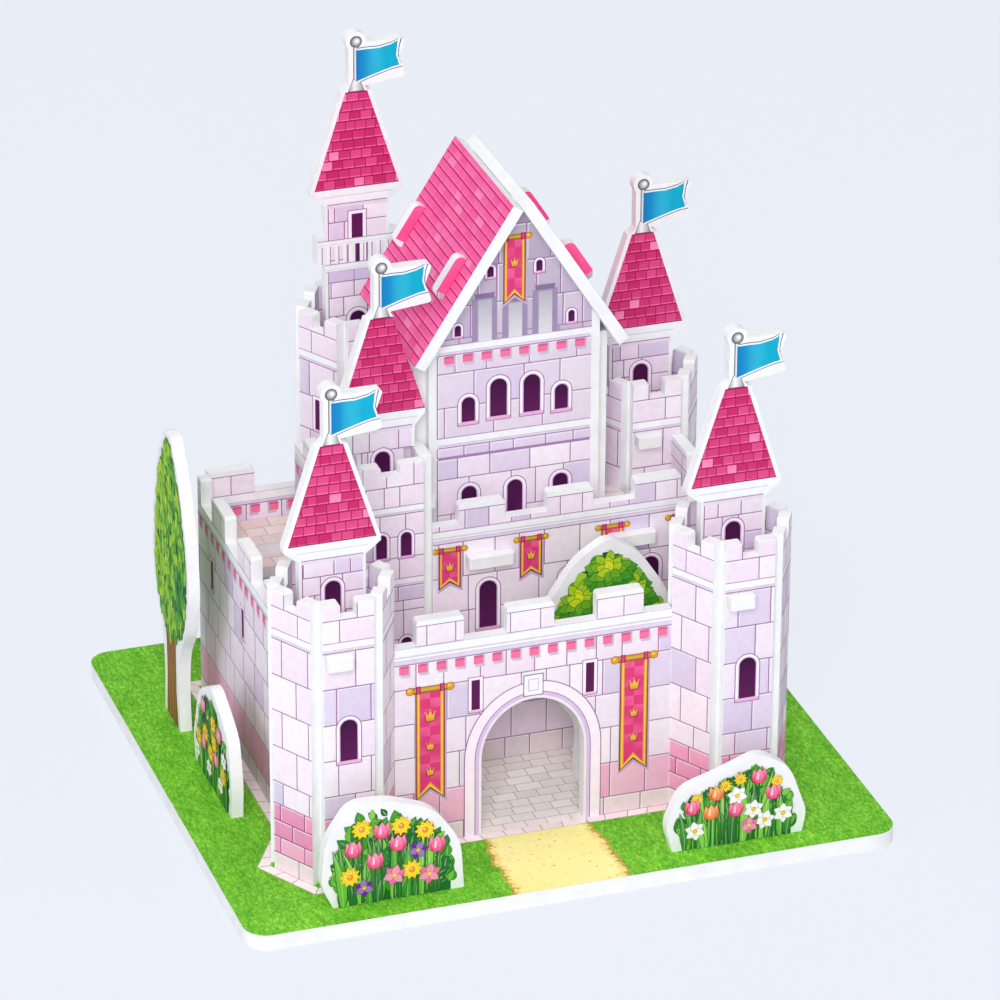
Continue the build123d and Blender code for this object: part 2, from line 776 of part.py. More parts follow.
def make_castle():
    """Every piece of the castle by its name."""
    spire_front = front_tower_y - board / 2
    slot_y = [middle_y for middle_y, top in terrace_slots()]
    short_spire = spire_drawing(spire_wall_height)
    turret_spire = spire_drawing(spire_wall_height, 0, middle_stem_half)
    tall_spire = spire_drawing(tall_wall_height, balcony=True)
    tall_y = back_tower_y - board / 2
    pieces = {
        "front_board": make_front_board(),
        "tower_front_left_back": make_tower_back(front_left_x),
        "tower_front_right_back": make_tower_back(front_right_x),
        "rear_board": make_rear_board(),
        "tower_back_left_front": make_tower_back_left_front(),
        "tower_right": make_tower_right(),
        "right_wall": make_right_wall(),
        "tower_middle": make_tower_middle(),
        "upper_side_wall": make_upper_side_wall(),
        "inner_wall": make_inner_wall(),
        "keep_walls": make_keep_walls(),
        "keep_back_gable": make_keep_back_gable(),
        "roof_left": make_roof_left(),
        "roof_right": make_roof_right(),
        "floor_front_left": make_tower_floor(front_left_x, front_tower_y, front_floor_height, floor_tab_length, 0),
        "floor_front_right": make_tower_floor(front_right_x, front_tower_y, front_floor_height, floor_tab_length, 0),
        "floor_right": make_tower_floor(right_tower_x, right_tower_y, right_floor_height, floor_tab_length, 0),
        "floor_back_left": make_tower_floor(back_tower_x, back_tower_y, back_floor_height, 0, 0),
        "floor_middle": make_middle_floor(),
        "spire_front_left": make_spire(front_left_x, spire_front, front_floor_height, short_spire),
        "spire_front_right": make_spire(front_right_x, spire_front, front_floor_height, short_spire),
        "spire_right": make_spire(right_tower_x, right_tower_y - board / 2, right_floor_height, short_spire),
        "spire_middle": make_spire(middle_spire_x, middle_spire_y(), middle_floor_height, turret_spire),
        "spire_back_left": make_spire(back_tower_x, tall_y, back_floor_height, tall_spire),
        "rear_terrace": make_paved_board(terrace_height, terrace_front_y, side_wall_end() + board / 2, slot_y[0]),
        "terrace_step_upper": make_paved_board(
            terrace_height - board, upper_step_front_y, terrace_front_y + board, slot_y[1]
        ),
        "terrace_step_lower": make_paved_board(
            lower_step_top, lower_step_front_y, lower_step_front_y + lower_step_depth, slot_y[2]
        ),
    }
    pieces.update(make_plants())
    pieces["upper_floor"] = make_upper_floor()
    pieces["base_board"] = make_base_board()
    return pieces


os.makedirs("parts", exist_ok=True)
for name, piece in make_castle().items():
    export_step(piece, f"parts/{name}.step")
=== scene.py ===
import math
import random
import bpy
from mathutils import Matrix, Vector
from mathutils.geometry import tessellate_polygon


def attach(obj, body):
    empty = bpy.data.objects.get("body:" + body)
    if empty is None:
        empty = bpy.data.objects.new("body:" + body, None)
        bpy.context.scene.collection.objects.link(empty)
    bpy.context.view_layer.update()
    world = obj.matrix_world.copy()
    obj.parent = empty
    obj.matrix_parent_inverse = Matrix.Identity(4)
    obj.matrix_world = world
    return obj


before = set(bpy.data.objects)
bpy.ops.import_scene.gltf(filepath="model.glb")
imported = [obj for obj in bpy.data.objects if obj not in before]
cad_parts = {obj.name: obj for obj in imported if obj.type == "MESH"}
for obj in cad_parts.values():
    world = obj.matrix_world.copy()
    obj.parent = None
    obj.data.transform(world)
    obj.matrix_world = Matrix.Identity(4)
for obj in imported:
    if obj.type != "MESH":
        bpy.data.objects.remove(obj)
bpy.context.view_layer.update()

MM = 0.001
FIRST_LIFT = 0.02
LIFT_STEP = 0.005
BUCKET = 6.0
LEAST_OVERLAP = 0.002
LEAST_PART, LEAST_PIECE = 1e-5, 1e-4
FACING, FLATNESS = 0.999, 0.03
BOARD = 3.6

# Camera, fitted to the photograph's angle
AZIMUTH = math.radians(-18.65)
ELEVATION = math.radians(26.62)
ROLL = math.radians(0.30)
CAMERA_PLACE = Vector((-494.89, -1481.98, 869.72)) * MM
LENS = 211.7
BACKGROUND = (0.855, 0.887, 0.965)

# The castle's own sizes, in millimetres, as in the CAD
GROUND = 5.0
FACE = 15.3
APOTHEM = 16.85
VERTEX = 18.418
FRONT_Y = -52.3
T_LEFT = (-63.28, FRONT_Y)
T_FRONT_RIGHT = (58.74, FRONT_Y)
T_RIGHT = (59.24, 29.5)
T_BACK = (-21.18, 58.4)
FLOOR_FRONT = 80.8
FLOOR_RIGHT = 94.8
FLOOR_MIDDLE = 94.8
FLOOR_BACK = 113.4
COURT = 76.0
LEFT_WALL = -72.28
RIGHT_WALL = 67.74
INNER_WALL = -12.4
KEEP_X = 8.92
KEEP_Y = -2.0
KEEP_HALF = 26.5
KEEP_BACK = 37.3
KEEP_MOULD, GABLE = 136.7, 139.8
PITCH = math.radians(57.5)
RIDGE = 189.96
LOW_TOP, LOW_MERLON = 70.8, 79.0
HIGH_TOP, HIGH_MERLON = 86.3, 92.5
GATE_MOULD, HIGH_MOULD, COURT_MOULD = 65.4, 80.5, 82.3
BACK_WALL = 60.2
BACK_INSIDE = 56.6
FRONT_ANGLES = (-60, 0, 60)
BACK_ANGLES = (120, 180, 240)
ROOF_TALL = 30.7
BALL_HIGH = 46.5
TERRACE, STEP_UPPER, STEP_LOWER = 61.5, 57.9, 46.0

# Heights of the printed courses at the foot of the walls
PALE_TOP = 10.9
PINK_TOP = 22.4
GATE_ROWS = [PINK_TOP, 34.4, 45.6, 57.2, GATE_MOULD]


def rgb(red, green, blue):
    """Linear colour of an sRGB one given from 0 to 255."""
    result = []
    for value in (red, green, blue):
        value /= 255
        result.append(value / 12.92 if value <= 0.04045 else ((value + 0.055) / 1.055) ** 2.4)
    return tuple(result)


def mix(one, two, share):
    return tuple(a + (b - a) * share for a, b in zip(one, two))


WHITE = rgb(243, 246, 247)
STONES = [
    rgb(247, 233, 244), rgb(244, 228, 242), rgb(242, 223, 240), rgb(250, 239, 247), rgb(243, 226, 242),
]
LILAC = [rgb(224, 207, 232), rgb(215, 198, 227)]
PALE = [rgb(244, 218, 226), rgb(240, 212, 220), rgb(238, 214, 216)]
PINKS = [rgb(244, 164, 202), rgb(241, 154, 196), rgb(247, 174, 210)]
HOTS = [rgb(244, 134, 184), rgb(238, 118, 174), rgb(248, 152, 196), rgb(229, 104, 164)]
PLUM = rgb(160, 104, 158)
DEEP = rgb(112, 50, 104)
SHADOW = rgb(205, 190, 214)
GLASS = rgb(92, 24, 84)
SURROUND = rgb(255, 246, 254)
DENTIL = rgb(243, 118, 158)
GOLD = rgb(228, 164, 44)
GOLD_LIGHT = rgb(250, 206, 84)
GOLD_DARK = rgb(158, 96, 20)
CLOTH = rgb(226, 62, 126)
CLOTH_LIGHT = rgb(240, 100, 152)
CLOTH_DARK = rgb(140, 22, 78)
TILES = [rgb(218, 66, 127), rgb(212, 55, 117), rgb(226, 80, 138), rgb(203, 45, 106)]
TILE_LIGHT = rgb(252, 142, 188)
TILE_LINE = rgb(166, 18, 84)
ROOFS = [rgb(250, 106, 170), rgb(248, 98, 164), rgb(252, 114, 176)]
ROOF_LINE = rgb(184, 20, 92)
TAB_PINK = rgb(250, 84, 150)
PAVING = [rgb(246, 238, 231), rgb(239, 230, 224), rgb(250, 244, 238), rgb(243, 234, 229)]
PAVING_LINE = rgb(176, 162, 158)
BEIGE = [rgb(240, 224, 216), rgb(236, 218, 212), rgb(244, 230, 222), rgb(233, 214, 206)]
BEIGE_LINE = rgb(190, 160, 156)
SILVER_DARK = rgb(92, 94, 102)
SILVER_LIGHT = rgb(244, 244, 242)
FLAG_DEEP = rgb(22, 120, 192)
FLAG = rgb(10, 170, 204)
FLAG_LIGHT = rgb(76, 196, 226)
FLAG_LINE = rgb(84, 98, 122)


def clip(points, edges):
    """The part of a convex polygon inside a convex, counter-clockwise one."""
    for (ax, ay), (bx, by) in zip(edges, edges[1:] + edges[:1]):
        dx, dy = bx - ax, by - ay
        kept = []
        for (px, py), (qx, qy) in zip(points, points[1:] + points[:1]):
            p_side = dx * (py - ay) - dy * (px - ax)
            q_side = dx * (qy - ay) - dy * (qx - ax)
            if p_side >= 0:
                kept.append((px, py))
            if (p_side > 0 > q_side) or (p_side < 0 < q_side):
                share = p_side / (p_side - q_side)
                kept.append((px + (qx - px) * share, py + (qy - py) * share))
        points = kept
        if len(points) < 3:
            return []
    return points


def area(points):
    return sum(a[0] * b[1] - b[0] * a[1] for a, b in zip(points, points[1:] + points[:1])) / 2


def convex(points):
    for a, b, c in zip(points, points[1:] + points[:1], points[2:] + points[:2]):
        if (b[0] - a[0]) * (c[1] - b[1]) - (b[1] - a[1]) * (c[0] - b[0]) < -1e-9:
            return False
    return True


def rect(left, right, low, high):
    return [(left, low), (right, low), (right, high), (left, high)]


def circle(x, y, radius, count=14, squash=1.0):
    turns = [2 * math.pi * i / count for i in range(count)]
    return [(x + radius * math.cos(turn), y + squash * radius * math.sin(turn)) for turn in turns]


def arch(middle, half, low, top, rise=None, count=14):
    """Opening with a round head."""
    rise = half if rise is None else rise
    spring = top - rise
    points = [(middle - half, low), (middle + half, low)]
    for i in range(count + 1):
        turn = math.pi * i / count
        points.append((middle + half * math.cos(turn), spring + rise * math.sin(turn)))
    return points


class Print:
    """The printed paper of one board: coloured shapes on its flat faces."""

    def __init__(self, node, slot, materials=None):
        self.node = node
        self.slot = slot
        self.points = []
        self.faces = []
        self.colours = []
        self.kinds = []
        self.panels = []
        self.materials = materials or [paper]

    def finish(self):
        for panel in self.panels:
            panel.settle()
        mesh = bpy.data.meshes.new("print_" + self.node)
        mesh.from_pydata(self.points, [], self.faces)
        layer = mesh.color_attributes.new("Col", "FLOAT_COLOR", "CORNER")
        flat = []
        for colours in self.colours:
            for colour in colours:
                flat.extend((*colour, 1.0))
        layer.data.foreach_set("color", flat)
        for material in self.materials:
            mesh.materials.append(material)
        mesh.polygons.foreach_set("material_index", self.kinds)
        piece = bpy.data.objects.new("print_" + self.node, mesh)
        bpy.context.scene.collection.objects.link(piece)
        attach(piece, "root")


class Panel:
    """One flat face of a CAD board, with directions along it and up it."""

    def __init__(self, sheet, origin, across, up, back=False, region=None):
        self.sheet = sheet
        sheet.panels.append(self)
        self.shapes = []
        self.across = Vector(across)
        self.up = Vector(up)
        self.normal = self.across.cross(self.up)
        self.origin = Vector(origin)
        self.back = back
        if back:
            self.origin = self.origin - self.normal * BOARD
            self.normal = -self.normal
        self.parts = []
        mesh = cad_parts[sheet.node].data
        mesh.calc_loop_triangles()
        for triangle in mesh.loop_triangles:
            if triangle.normal.dot(self.normal) < FACING:
                continue
            corners = [mesh.vertices[i].co / MM - self.origin for i in triangle.vertices]
            if max(abs(corner.dot(self.normal)) for corner in corners) > FLATNESS:
                continue
            flat = [(corner.dot(self.across), corner.dot(self.up)) for corner in corners]
            if area(flat) < 0:
                flat.reverse()
            if region:
                flat = clip(flat, rect(*region))
            if len(flat) > 2 and area(flat) > LEAST_PART:
                xs, ys = [p[0] for p in flat], [p[1] for p in flat]
                self.parts.append((min(xs), max(xs), min(ys), max(ys), flat))
        if not self.parts:
            raise ValueError(f"no face of {sheet.node} at {origin}")
        self.left = min(part[0] for part in self.parts)
        self.right = max(part[1] for part in self.parts)
        self.low = min(part[2] for part in self.parts)
        self.high = max(part[3] for part in self.parts)

    def edges(self):
        """The outline's runs: edges that only one triangle has."""
        seen = {}
        for part in self.parts:
            flat = part[4]
            for a, b in zip(flat, flat[1:] + flat[:1]):
                key = tuple(sorted(((round(a[0], 3), round(a[1], 3)), (round(b[0], 3), round(b[1], 3)))))
                seen[key] = seen.get(key, 0) + 1
        return [key for key, count in seen.items() if count == 1]

    def draw(self, points, colour, layer=0, within=None, kind=0):
        """Keep a shape for the face; colour is one colour or a function of the place."""
        if area(points) < 0:
            points = points[::-1]
        pieces = [points]
        if not convex(points):
            flat = [Vector((x, y, 0)) for x, y in points]
            pieces = [[points[i] for i in triangle] for triangle in tessellate_polygon([flat])]
            pieces = [piece if area(piece) > 0 else piece[::-1] for piece in pieces]
        if within:
            pieces = [clip(piece, within) for piece in pieces]
        pieces = [piece for piece in pieces if len(piece) > 2]
        if pieces:
            self.shapes.append((layer, len(self.shapes), pieces, colour, kind))

    def box(self, left, right, low, high, colour, layer=0, within=None):
        self.draw(rect(left, right, low, high), colour, layer, within)

    def settle(self):
        """Lay the shapes in order, each one step above the highest it covers."""
        buckets = {}
        for _, _, pieces, colour, kind in sorted(self.shapes, key=lambda shape: shape[:2]):
            xs = [x for piece in pieces for x, _ in piece]
            ys = [y for piece in pieces for _, y in piece]
            box = (min(xs), max(xs), min(ys), max(ys))
            columns = range(int(box[0] // BUCKET), int(box[1] // BUCKET) + 1)
            rows = range(int(box[2] // BUCKET), int(box[3] // BUCKET) + 1)
            cells = [buckets.setdefault((column, row), {}) for column in columns for row in rows]
            near = {}
            for cell in cells:
                near.update(cell)
            level = 0
            for other_level, other_box, other_pieces in sorted(near.values(), key=lambda other: -other[0]):
                if box[0] >= other_box[1] or box[1] <= other_box[0]:
                    continue
                if box[2] >= other_box[3] or box[3] <= other_box[2]:
                    continue
                if any(overlap(one, two) for one in pieces for two in other_pieces):
                    level = other_level
                    break
            level += 1
            key = len(self.sheet.faces), box
            for cell in cells:
                cell[key] = (level, box, pieces)
            for piece in pieces:
                self.lay(piece, colour, FIRST_LIFT + level * LIFT_STEP, kind)

    def lay(self, points, colour, lift, kind):
        """Cut one convex piece to the face and add it to the sheet."""
        xs, ys = [p[0] for p in points], [p[1] for p in points]
        left, right, low, high = min(xs), max(xs), min(ys), max(ys)
        sheet = self.sheet
        for part_left, part_right, part_low, part_high, flat in self.parts:
            if part_left >= right or part_right <= left or part_low >= high or part_high <= low:
                continue
            piece = clip(points, flat)
            if len(piece) < 3 or abs(area(piece)) < LEAST_PIECE:
                continue
            if self.back:
                piece = piece[::-1]
            start = len(sheet.points)
            for u, v in piece:
                place = self.origin + self.across * u + self.up * v + self.normal * lift
                sheet.points.append(tuple(place * MM))
            sheet.faces.append(tuple(range(start, start + len(piece))))
            sheet.colours.append([colour(u, v) if callable(colour) else colour for u, v in piece])
            sheet.kinds.append(kind)


def overlap(one, two):
    """Whether two convex shapes share more than an edge."""
    piece = clip(one, two)
    return len(piece) > 2 and area(piece) > LEAST_OVERLAP


def direction(angle):
    """The way along the ground at an angle."""
    return (math.cos(math.radians(angle)), math.sin(math.radians(angle)), 0.0)


def wall_panel(sheet, start, angle, length, back=False, low=GROUND, high=250.0):
    """The printed face of a standing board, from its own start point; up is the true height."""
    return Panel(sheet, (start[0], start[1], 0), direction(angle), (0, 0, 1), back, (0, length, low, high))


def tower_side(sheet, tower, angle, back=False):
    """One face of a six-sided tower."""
    out = (math.sin(math.radians(angle)), -math.cos(math.radians(angle)))
    along = direction(angle)
    start = [tower[i] + out[i] * APOTHEM - along[i] * FACE / 2 for i in range(2)]
    return wall_panel(sheet, start, angle, FACE, back)


# Masonry


def stone(panel, left, right, low, high, colour, line=PLUM):
    """One stone: a soft fall of tone, a light edge at its top and left, and its joint."""
    top = mix(colour, WHITE, 0.28)
    foot = mix(colour, LILAC[0], 0.22)

    def tone(u, v):
        share = (v - low) / (high - low)
        return mix(foot, top, 0.35 + 0.5 * share - 0.25 * (u - left) / (right - left))

    panel.box(left, right, low, high, tone)
    edge, thick = 0.34, 0.3
    shine = mix(colour, WHITE, 0.75)
    if high - low > 3:
        panel.box(left + thick, right - thick, high - thick - edge, high - thick, shine, 1)
        panel.box(left + thick, left + thick + edge * 0.8, low + thick, high - thick, shine, 1)
    panel.box(left, right, low - thick / 2, low + thick / 2, line, 2)
    panel.box(left - thick / 2, left + thick / 2, low, high, line, 2)


def pick(rng, colours, odd=None, share=0.16):
    """One of the colours, or now and then an odd one."""
    if odd and rng.random() < share:
        return rng.choice(odd)
    return rng.choice(colours)


def course(panel, left, right, low, high, rng, colours, mean, odd=None, start=None):
    """A row of stones of uneven lengths."""
    place = left - (rng.uniform(0.1, 0.8) * mean if start is None else start)
    while place < right:
        length = mean * rng.uniform(0.68, 1.32)
        if right - place - length < mean * 0.3:
            length = right - place + 0.5
        begin, end = max(place, left - 0.3), min(place + length, right + 0.3)
        stone(panel, begin, end, low, high, pick(rng, colours, odd))
        place += length


def string_course(panel, low, high, left=None, right=None):
    """White moulding with a shaded underside."""
    left = panel.left if left is None else left
    right = panel.right if right is None else right
    panel.box(left, right, low, high, WHITE, 4)
    band = (high - low) * 0.26
    if high - low > 4:
        panel.box(left, right, low + (high - low) * 0.42, low + (high - low) * 0.52, rgb(220, 206, 224), 5)
    panel.box(left, right, low, low + band, rgb(226, 214, 232), 5)
    panel.box(left, right, low - 0.14, low + 0.14, PLUM, 6)
    panel.box(left, right, low + band, low + band + 0.16, rgb(204, 180, 212), 6)
    panel.box(left, right, high - 0.2, high, rgb(214, 188, 218), 6)


def dentils(panel, left, right, top, pitch=5.75, width=2.9, tall=3.0):
    """Row of small pink blocks under a moulding, with their shadows."""
    count = max(1, int(round((right - left) / pitch)))
    pitch = (right - left) / count
    for index in range(count):
        middle = left + pitch * (index + 0.5)
        low = top - tall
        panel.box(middle - width / 2 + 0.5, middle + width / 2 + 0.5, low - 0.9, top, SHADOW, 4)
        panel.box(middle - width / 2, middle + width / 2, low, top - 0.2, DENTIL, 5)
        panel.box(middle - width / 2, middle + width / 2, top - 0.9, top - 0.2, rgb(224, 90, 138), 6)


def arched_window(panel, middle, low, top, half, edge=1.05):
    """A dark window with a round head, a pale frame and a sill."""
    panel.draw(arch(middle, half + edge + 0.28, low - edge - 0.2, top + edge + 0.28), PLUM, 4)
    panel.draw(arch(middle, half + edge, low - edge + 0.1, top + edge), SURROUND, 5)
    panel.draw(arch(middle, half + edge * 0.32, low - 0.1, top + edge * 0.32), rgb(222, 196, 230), 6)

    def depth(u, v):
        return mix(GLASS, rgb(62, 12, 62), (v - low) / (top - low))

    panel.draw(arch(middle, half, low, top), depth, 7)
    left, right = middle - half - edge, middle + half + edge
    panel.box(left, right, low - edge - 0.1, low - 0.1, rgb(232, 180, 218), 8)
    panel.box(left, right, low - edge - 0.24, low - edge, PLUM, 9)


def slit(panel, middle, low, top, half, edge=0.85):
    """A narrow window in a pale frame."""
    left, right, line = middle - half - edge, middle + half + edge, 0.25
    panel.box(left - line, right + line, low - edge - line, top + edge + line, PLUM, 4)
    panel.box(left, right, low - edge, top + edge, SURROUND, 5)
    panel.box(middle - half, middle + half, low, top, GLASS, 6)
    panel.box(left, right, low - edge, low - 0.1, rgb(232, 190, 222), 7)


def crown(panel, x, y, size):
    """A plain three-pointed crown."""

    def shape(grow):
        half = size * 0.5 + grow
        return [
            (x - half * 0.8, y - size * 0.55 - grow), (x + half * 0.8, y - size * 0.55 - grow),
            (x + half, y + size * 0.36 + grow), (x + half * 0.45, y + size * 0.06),
            (x, y + size * 0.62 + grow * 1.4),
            (x - half * 0.45, y + size * 0.06), (x - half, y + size * 0.36 + grow),
        ]

    def gold(u, v):
        return mix(GOLD, GOLD_LIGHT, min(1.0, max(0.0, 0.5 + (v - y) / size)))

    panel.draw(shape(0.26), CLOTH_DARK, 11)
    panel.draw(shape(0.0), gold, 12)
    panel.box(x - size * 0.4, x + size * 0.4, y - size * 0.55, y - size * 0.3, GOLD, 13)
    for place in (-0.5, 0.0, 0.5):
        height = 0.66 if place == 0 else 0.4
        panel.draw(circle(x + size * place, y + size * height, size * 0.1, 8), GOLD, 13)


def swallow_tail(left, right, top, bottom, notch):
    """Outline of a hanging cloth with a notched foot."""
    middle = (left + right) / 2
    return [(left, top), (left, bottom), (middle, bottom + notch), (right, bottom), (right, top)]


def banner(panel, left, right, rod, bottom, crowns, border=1.05, reach=2.0, notch=3.6, rod_half=0.85):
    """Hanging cloth with a gold edge on a gold rod."""
    panel.draw(swallow_tail(left - 0.6, right + 0.9, rod, bottom - 1.6, notch), mix(SHADOW, PLUM, 0.2), 4)
    panel.draw(swallow_tail(left - 0.36, right + 0.36, rod, bottom - 0.6, notch), CLOTH_DARK, 5)
    panel.draw(swallow_tail(left, right, rod, bottom, notch), GOLD, 6)
    inset = border * 0.3
    panel.draw(swallow_tail(left + inset, right - inset, rod, bottom + inset, notch), GOLD_LIGHT, 7)
    inset = border * 0.72
    panel.draw(swallow_tail(left + inset, right - inset, rod, bottom + inset * 1.6, notch), GOLD, 8)

    def silk(u, v):
        return mix(CLOTH, CLOTH_LIGHT, 0.5 + 0.5 * math.sin(v * 0.55 + u * 0.3))

    low = bottom + border * 1.7
    inner = swallow_tail(left + border, right - border, rod, low, notch)
    panel.draw(inner, CLOTH, 9)
    steps = max(3, int((rod - low - notch) / 3.0))
    height = (rod - low - notch) / steps
    for index in range(steps):
        foot = low + notch + index * height
        span = (right - left) / 2 - border
        shift = 0 if index % 2 else span
        panel.box(left + border + shift, left + border + shift + span, foot, foot + height, silk, 10)
    size = (right - left) * 0.31
    for index, height in enumerate(crowns):
        crown(panel, (left + right) / 2, height, size * (1.15 if index == 0 else 0.86))
    start, end = left - reach, right + reach

    def brass(u, v):
        return mix(GOLD_DARK, GOLD_LIGHT, max(0.0, 1 - abs(v - rod - rod_half * 0.35) / rod_half))

    panel.box(start - 0.2, end + 0.2, rod - rod_half - 0.25, rod + rod_half + 0.25, GOLD_DARK, 15)
    panel.box(start, end, rod - rod_half, rod, brass, 16)
    panel.box(start, end, rod, rod + rod_half, brass, 16)
    for place in (left + 0.5, right - 0.5):
        panel.box(place - 0.75, place + 0.75, rod - rod_half - 0.4, rod + rod_half + 0.5, CLOTH_DARK, 17)
        panel.box(place - 0.45, place + 0.45, rod - rod_half - 0.2, rod + rod_half + 0.3, CLOTH, 18)
    ball = rod_half * 1.35
    for place in (start, end):
        panel.draw(circle(place, rod, ball + 0.2), GOLD_DARK, 17)
        panel.draw(circle(place, rod, ball), GOLD, 18)
        panel.draw(circle(place - 0.25, rod + 0.35, ball * 0.45, 10), GOLD_LIGHT, 19)


def even_rows(low, high, count):
    return [low + (high - low) * index / count for index in range(count + 1)]


def spans(places):
    """Each pair of neighbours in a row of places, with its number."""
    return [(index, low, high) for index, (low, high) in enumerate(zip(places, places[1:]))]


def wall_rows(panel, rng, left, right, rows, mean=10.5, colours=None, odd=LILAC):
    """Courses of stones, their joints shifted from row to row."""
    for index, low, high in spans(rows):
        start = mean * (0.15 if index % 2 else 0.62) + rng.uniform(-1.2, 1.2)
        course(panel, left, right, low, high, rng, colours or STONES, mean, odd, start)


def cap_line(panel, length, top):
    """The capping stone printed along the top of a merlon."""
    foot = top - 1.7
    panel.box(0, length, foot, top, WHITE, 4)
    panel.box(0, length, foot - 0.13, foot + 0.13, PLUM, 5)


def low_courses(panel, rng, length, mean=11.0):
    """The pale and the pink course at the foot of a wall."""
    course(panel, 0, length, GROUND, PALE_TOP, rng, PALE, mean * 0.8)
    course(panel, 0, length, PALE_TOP, PINK_TOP, rng, PINKS, mean)


def tower_art(panel, floor, seed, window=None, inside=False):
    """A tower face: hot bricks at the foot, stones, a moulding at the floor, and stones above."""
    rng = random.Random(seed)
    right = FACE
    side = seed % 2
    if inside:
        rows = even_rows(floor, floor + 16.2, 2)
        for index, low, high in spans(rows):
            joint = 5.2 if (index + side) % 2 else 9.6
            stone(panel, 0, joint, low, high, rng.choice(LILAC))
            stone(panel, joint, right, low, high, rng.choice(STONES))
        return
    joint = (5.0, 9.8)
    stone(panel, -0.3, joint[side], GROUND, PALE_TOP, rng.choice(PALE))
    stone(panel, joint[side], right + 0.3, GROUND, PALE_TOP, rng.choice(PALE))
    rows = even_rows(PALE_TOP, 27.3, 3)
    for index, low, high in spans(rows):
        joints = (2.6, 12.2) if (index + side) % 2 else (7.4,)
        places = [-0.3, *joints, right + 0.3]
        for left, end in zip(places, places[1:]):
            stone(panel, left, end, low, high, pick(rng, HOTS), line=rgb(150, 60, 120))
    count = int(round((floor - 34.6) / 11.5))
    rows = [27.3] + even_rows(34.6, floor + 0.5, count)
    for index, low, high in spans(rows):
        if (index + side) % 2:
            places = [-0.3, 4.1 + rng.uniform(-0.3, 0.3), 14.2, right + 0.3]
        else:
            places = [-0.3, 9.3 + rng.uniform(-0.4, 0.4), right + 0.3]
        for left, end in zip(places, places[1:]):
            stone(panel, left, end, low, high, pick(rng, STONES, LILAC, 0.2))
    string_course(panel, floor + 0.5, floor + 3.6)
    rows = [floor + 3.6, floor + 10.8, floor + 16.2]
    for index, low, high in spans(rows):
        joint = (5.0, 10.3)[(index + side) % 2]
        stone(panel, -0.3, joint, low, high, pick(rng, STONES))
        stone(panel, joint, right + 0.3, low, high, pick(rng, STONES, [STONES[3]]))
    if window:
        arched_window(panel, *window)


# Materials


class Graph:
    """A node material in the making. A socket given as a value is linked."""

    def __init__(self, name, roughness, specular):
        self.material = bpy.data.materials.new(name)
        self.material.use_nodes = True
        self.nodes, self.links = self.material.node_tree.nodes, self.material.node_tree.links
        self.shader = self.nodes["Principled BSDF"]
        self.feed(self.shader, Roughness=roughness, Specular_IOR_Level=specular)

    def feed(self, node, **values):
        for name, value in values.items():
            socket = node.inputs[name.replace("_", " ")]
            if isinstance(value, bpy.types.NodeSocket):
                self.links.new(value, socket)
            else:
                socket.default_value = value

    def add(self, kind, **values):
        node = self.nodes.new("ShaderNode" + kind)
        self.feed(node, **values)
        return node

    def noise(self, place, scale, detail, roughness=0.5):
        node = self.add("TexNoise", Vector=place, Scale=scale, Detail=detail, Roughness=roughness)
        return node.outputs["Fac"]

    def ramp(self, value, *stops):
        """Colours between stops, each a place and a colour."""
        node = self.add("ValToRGB", Fac=value)
        elements = node.color_ramp.elements
        for element, (place, colour) in zip(elements, (stops[0], stops[-1])):
            element.position, element.color = place, (*colour, 1)
        for place, colour in stops[1:-1]:
            elements.new(place).color = (*colour, 1)
        return node.outputs["Color"]

    def multiply(self, one, two):
        node = self.nodes.new("ShaderNodeMix")
        node.data_type, node.blend_type = "RGBA", "MULTIPLY"
        node.inputs[0].default_value = 1.0
        self.links.new(one, node.inputs[6])
        self.links.new(two, node.inputs[7])
        return node.outputs[2]

    def bump(self, height, strength, distance):
        node = self.add("Bump", Height=height, Strength=strength, Distance=distance)
        self.feed(self.shader, Normal=node.outputs["Normal"])


def make_paper():
    """Coated paper whose ink is the mesh's own colours, with fine fibre and a slight mottle."""
    graph = Graph("printed_paper", 0.55, 0.14)
    place = graph.add("TexCoord").outputs["Object"]
    graph.bump(graph.noise(place, 2600.0, 3.0), 0.12, 0.00006)
    ink = graph.add("VertexColor")
    ink.layer_name = "Col"
    mottle = graph.noise(place, 420.0, 4.0)
    spread = graph.add("MapRange", Value=mottle, From_Min=0.3, From_Max=0.7, To_Min=0.955, To_Max=1.03)
    gloss = graph.add("MapRange", Value=mottle, To_Min=0.48, To_Max=0.64)
    tint = graph.multiply(ink.outputs["Color"], spread.outputs["Result"])
    graph.feed(graph.shader, Base_Color=tint, Roughness=gloss.outputs["Result"])
    return graph.material


def make_foam():
    """White foam board: pale skins and fine closed cells."""
    graph = Graph("foam_board", 0.62, 0.3)
    place = graph.add("TexCoord").outputs["Object"]
    cells = graph.add("TexVoronoi", Vector=place, Scale=1900.0)
    whites = (0.3, rgb(236, 237, 238)), (0.72, rgb(246, 247, 248))
    graph.feed(graph.shader, Base_Color=graph.ramp(graph.noise(place, 160.0, 5.0), *whites))
    graph.bump(cells.outputs["Distance"], 0.22, 0.00012)
    return graph.material


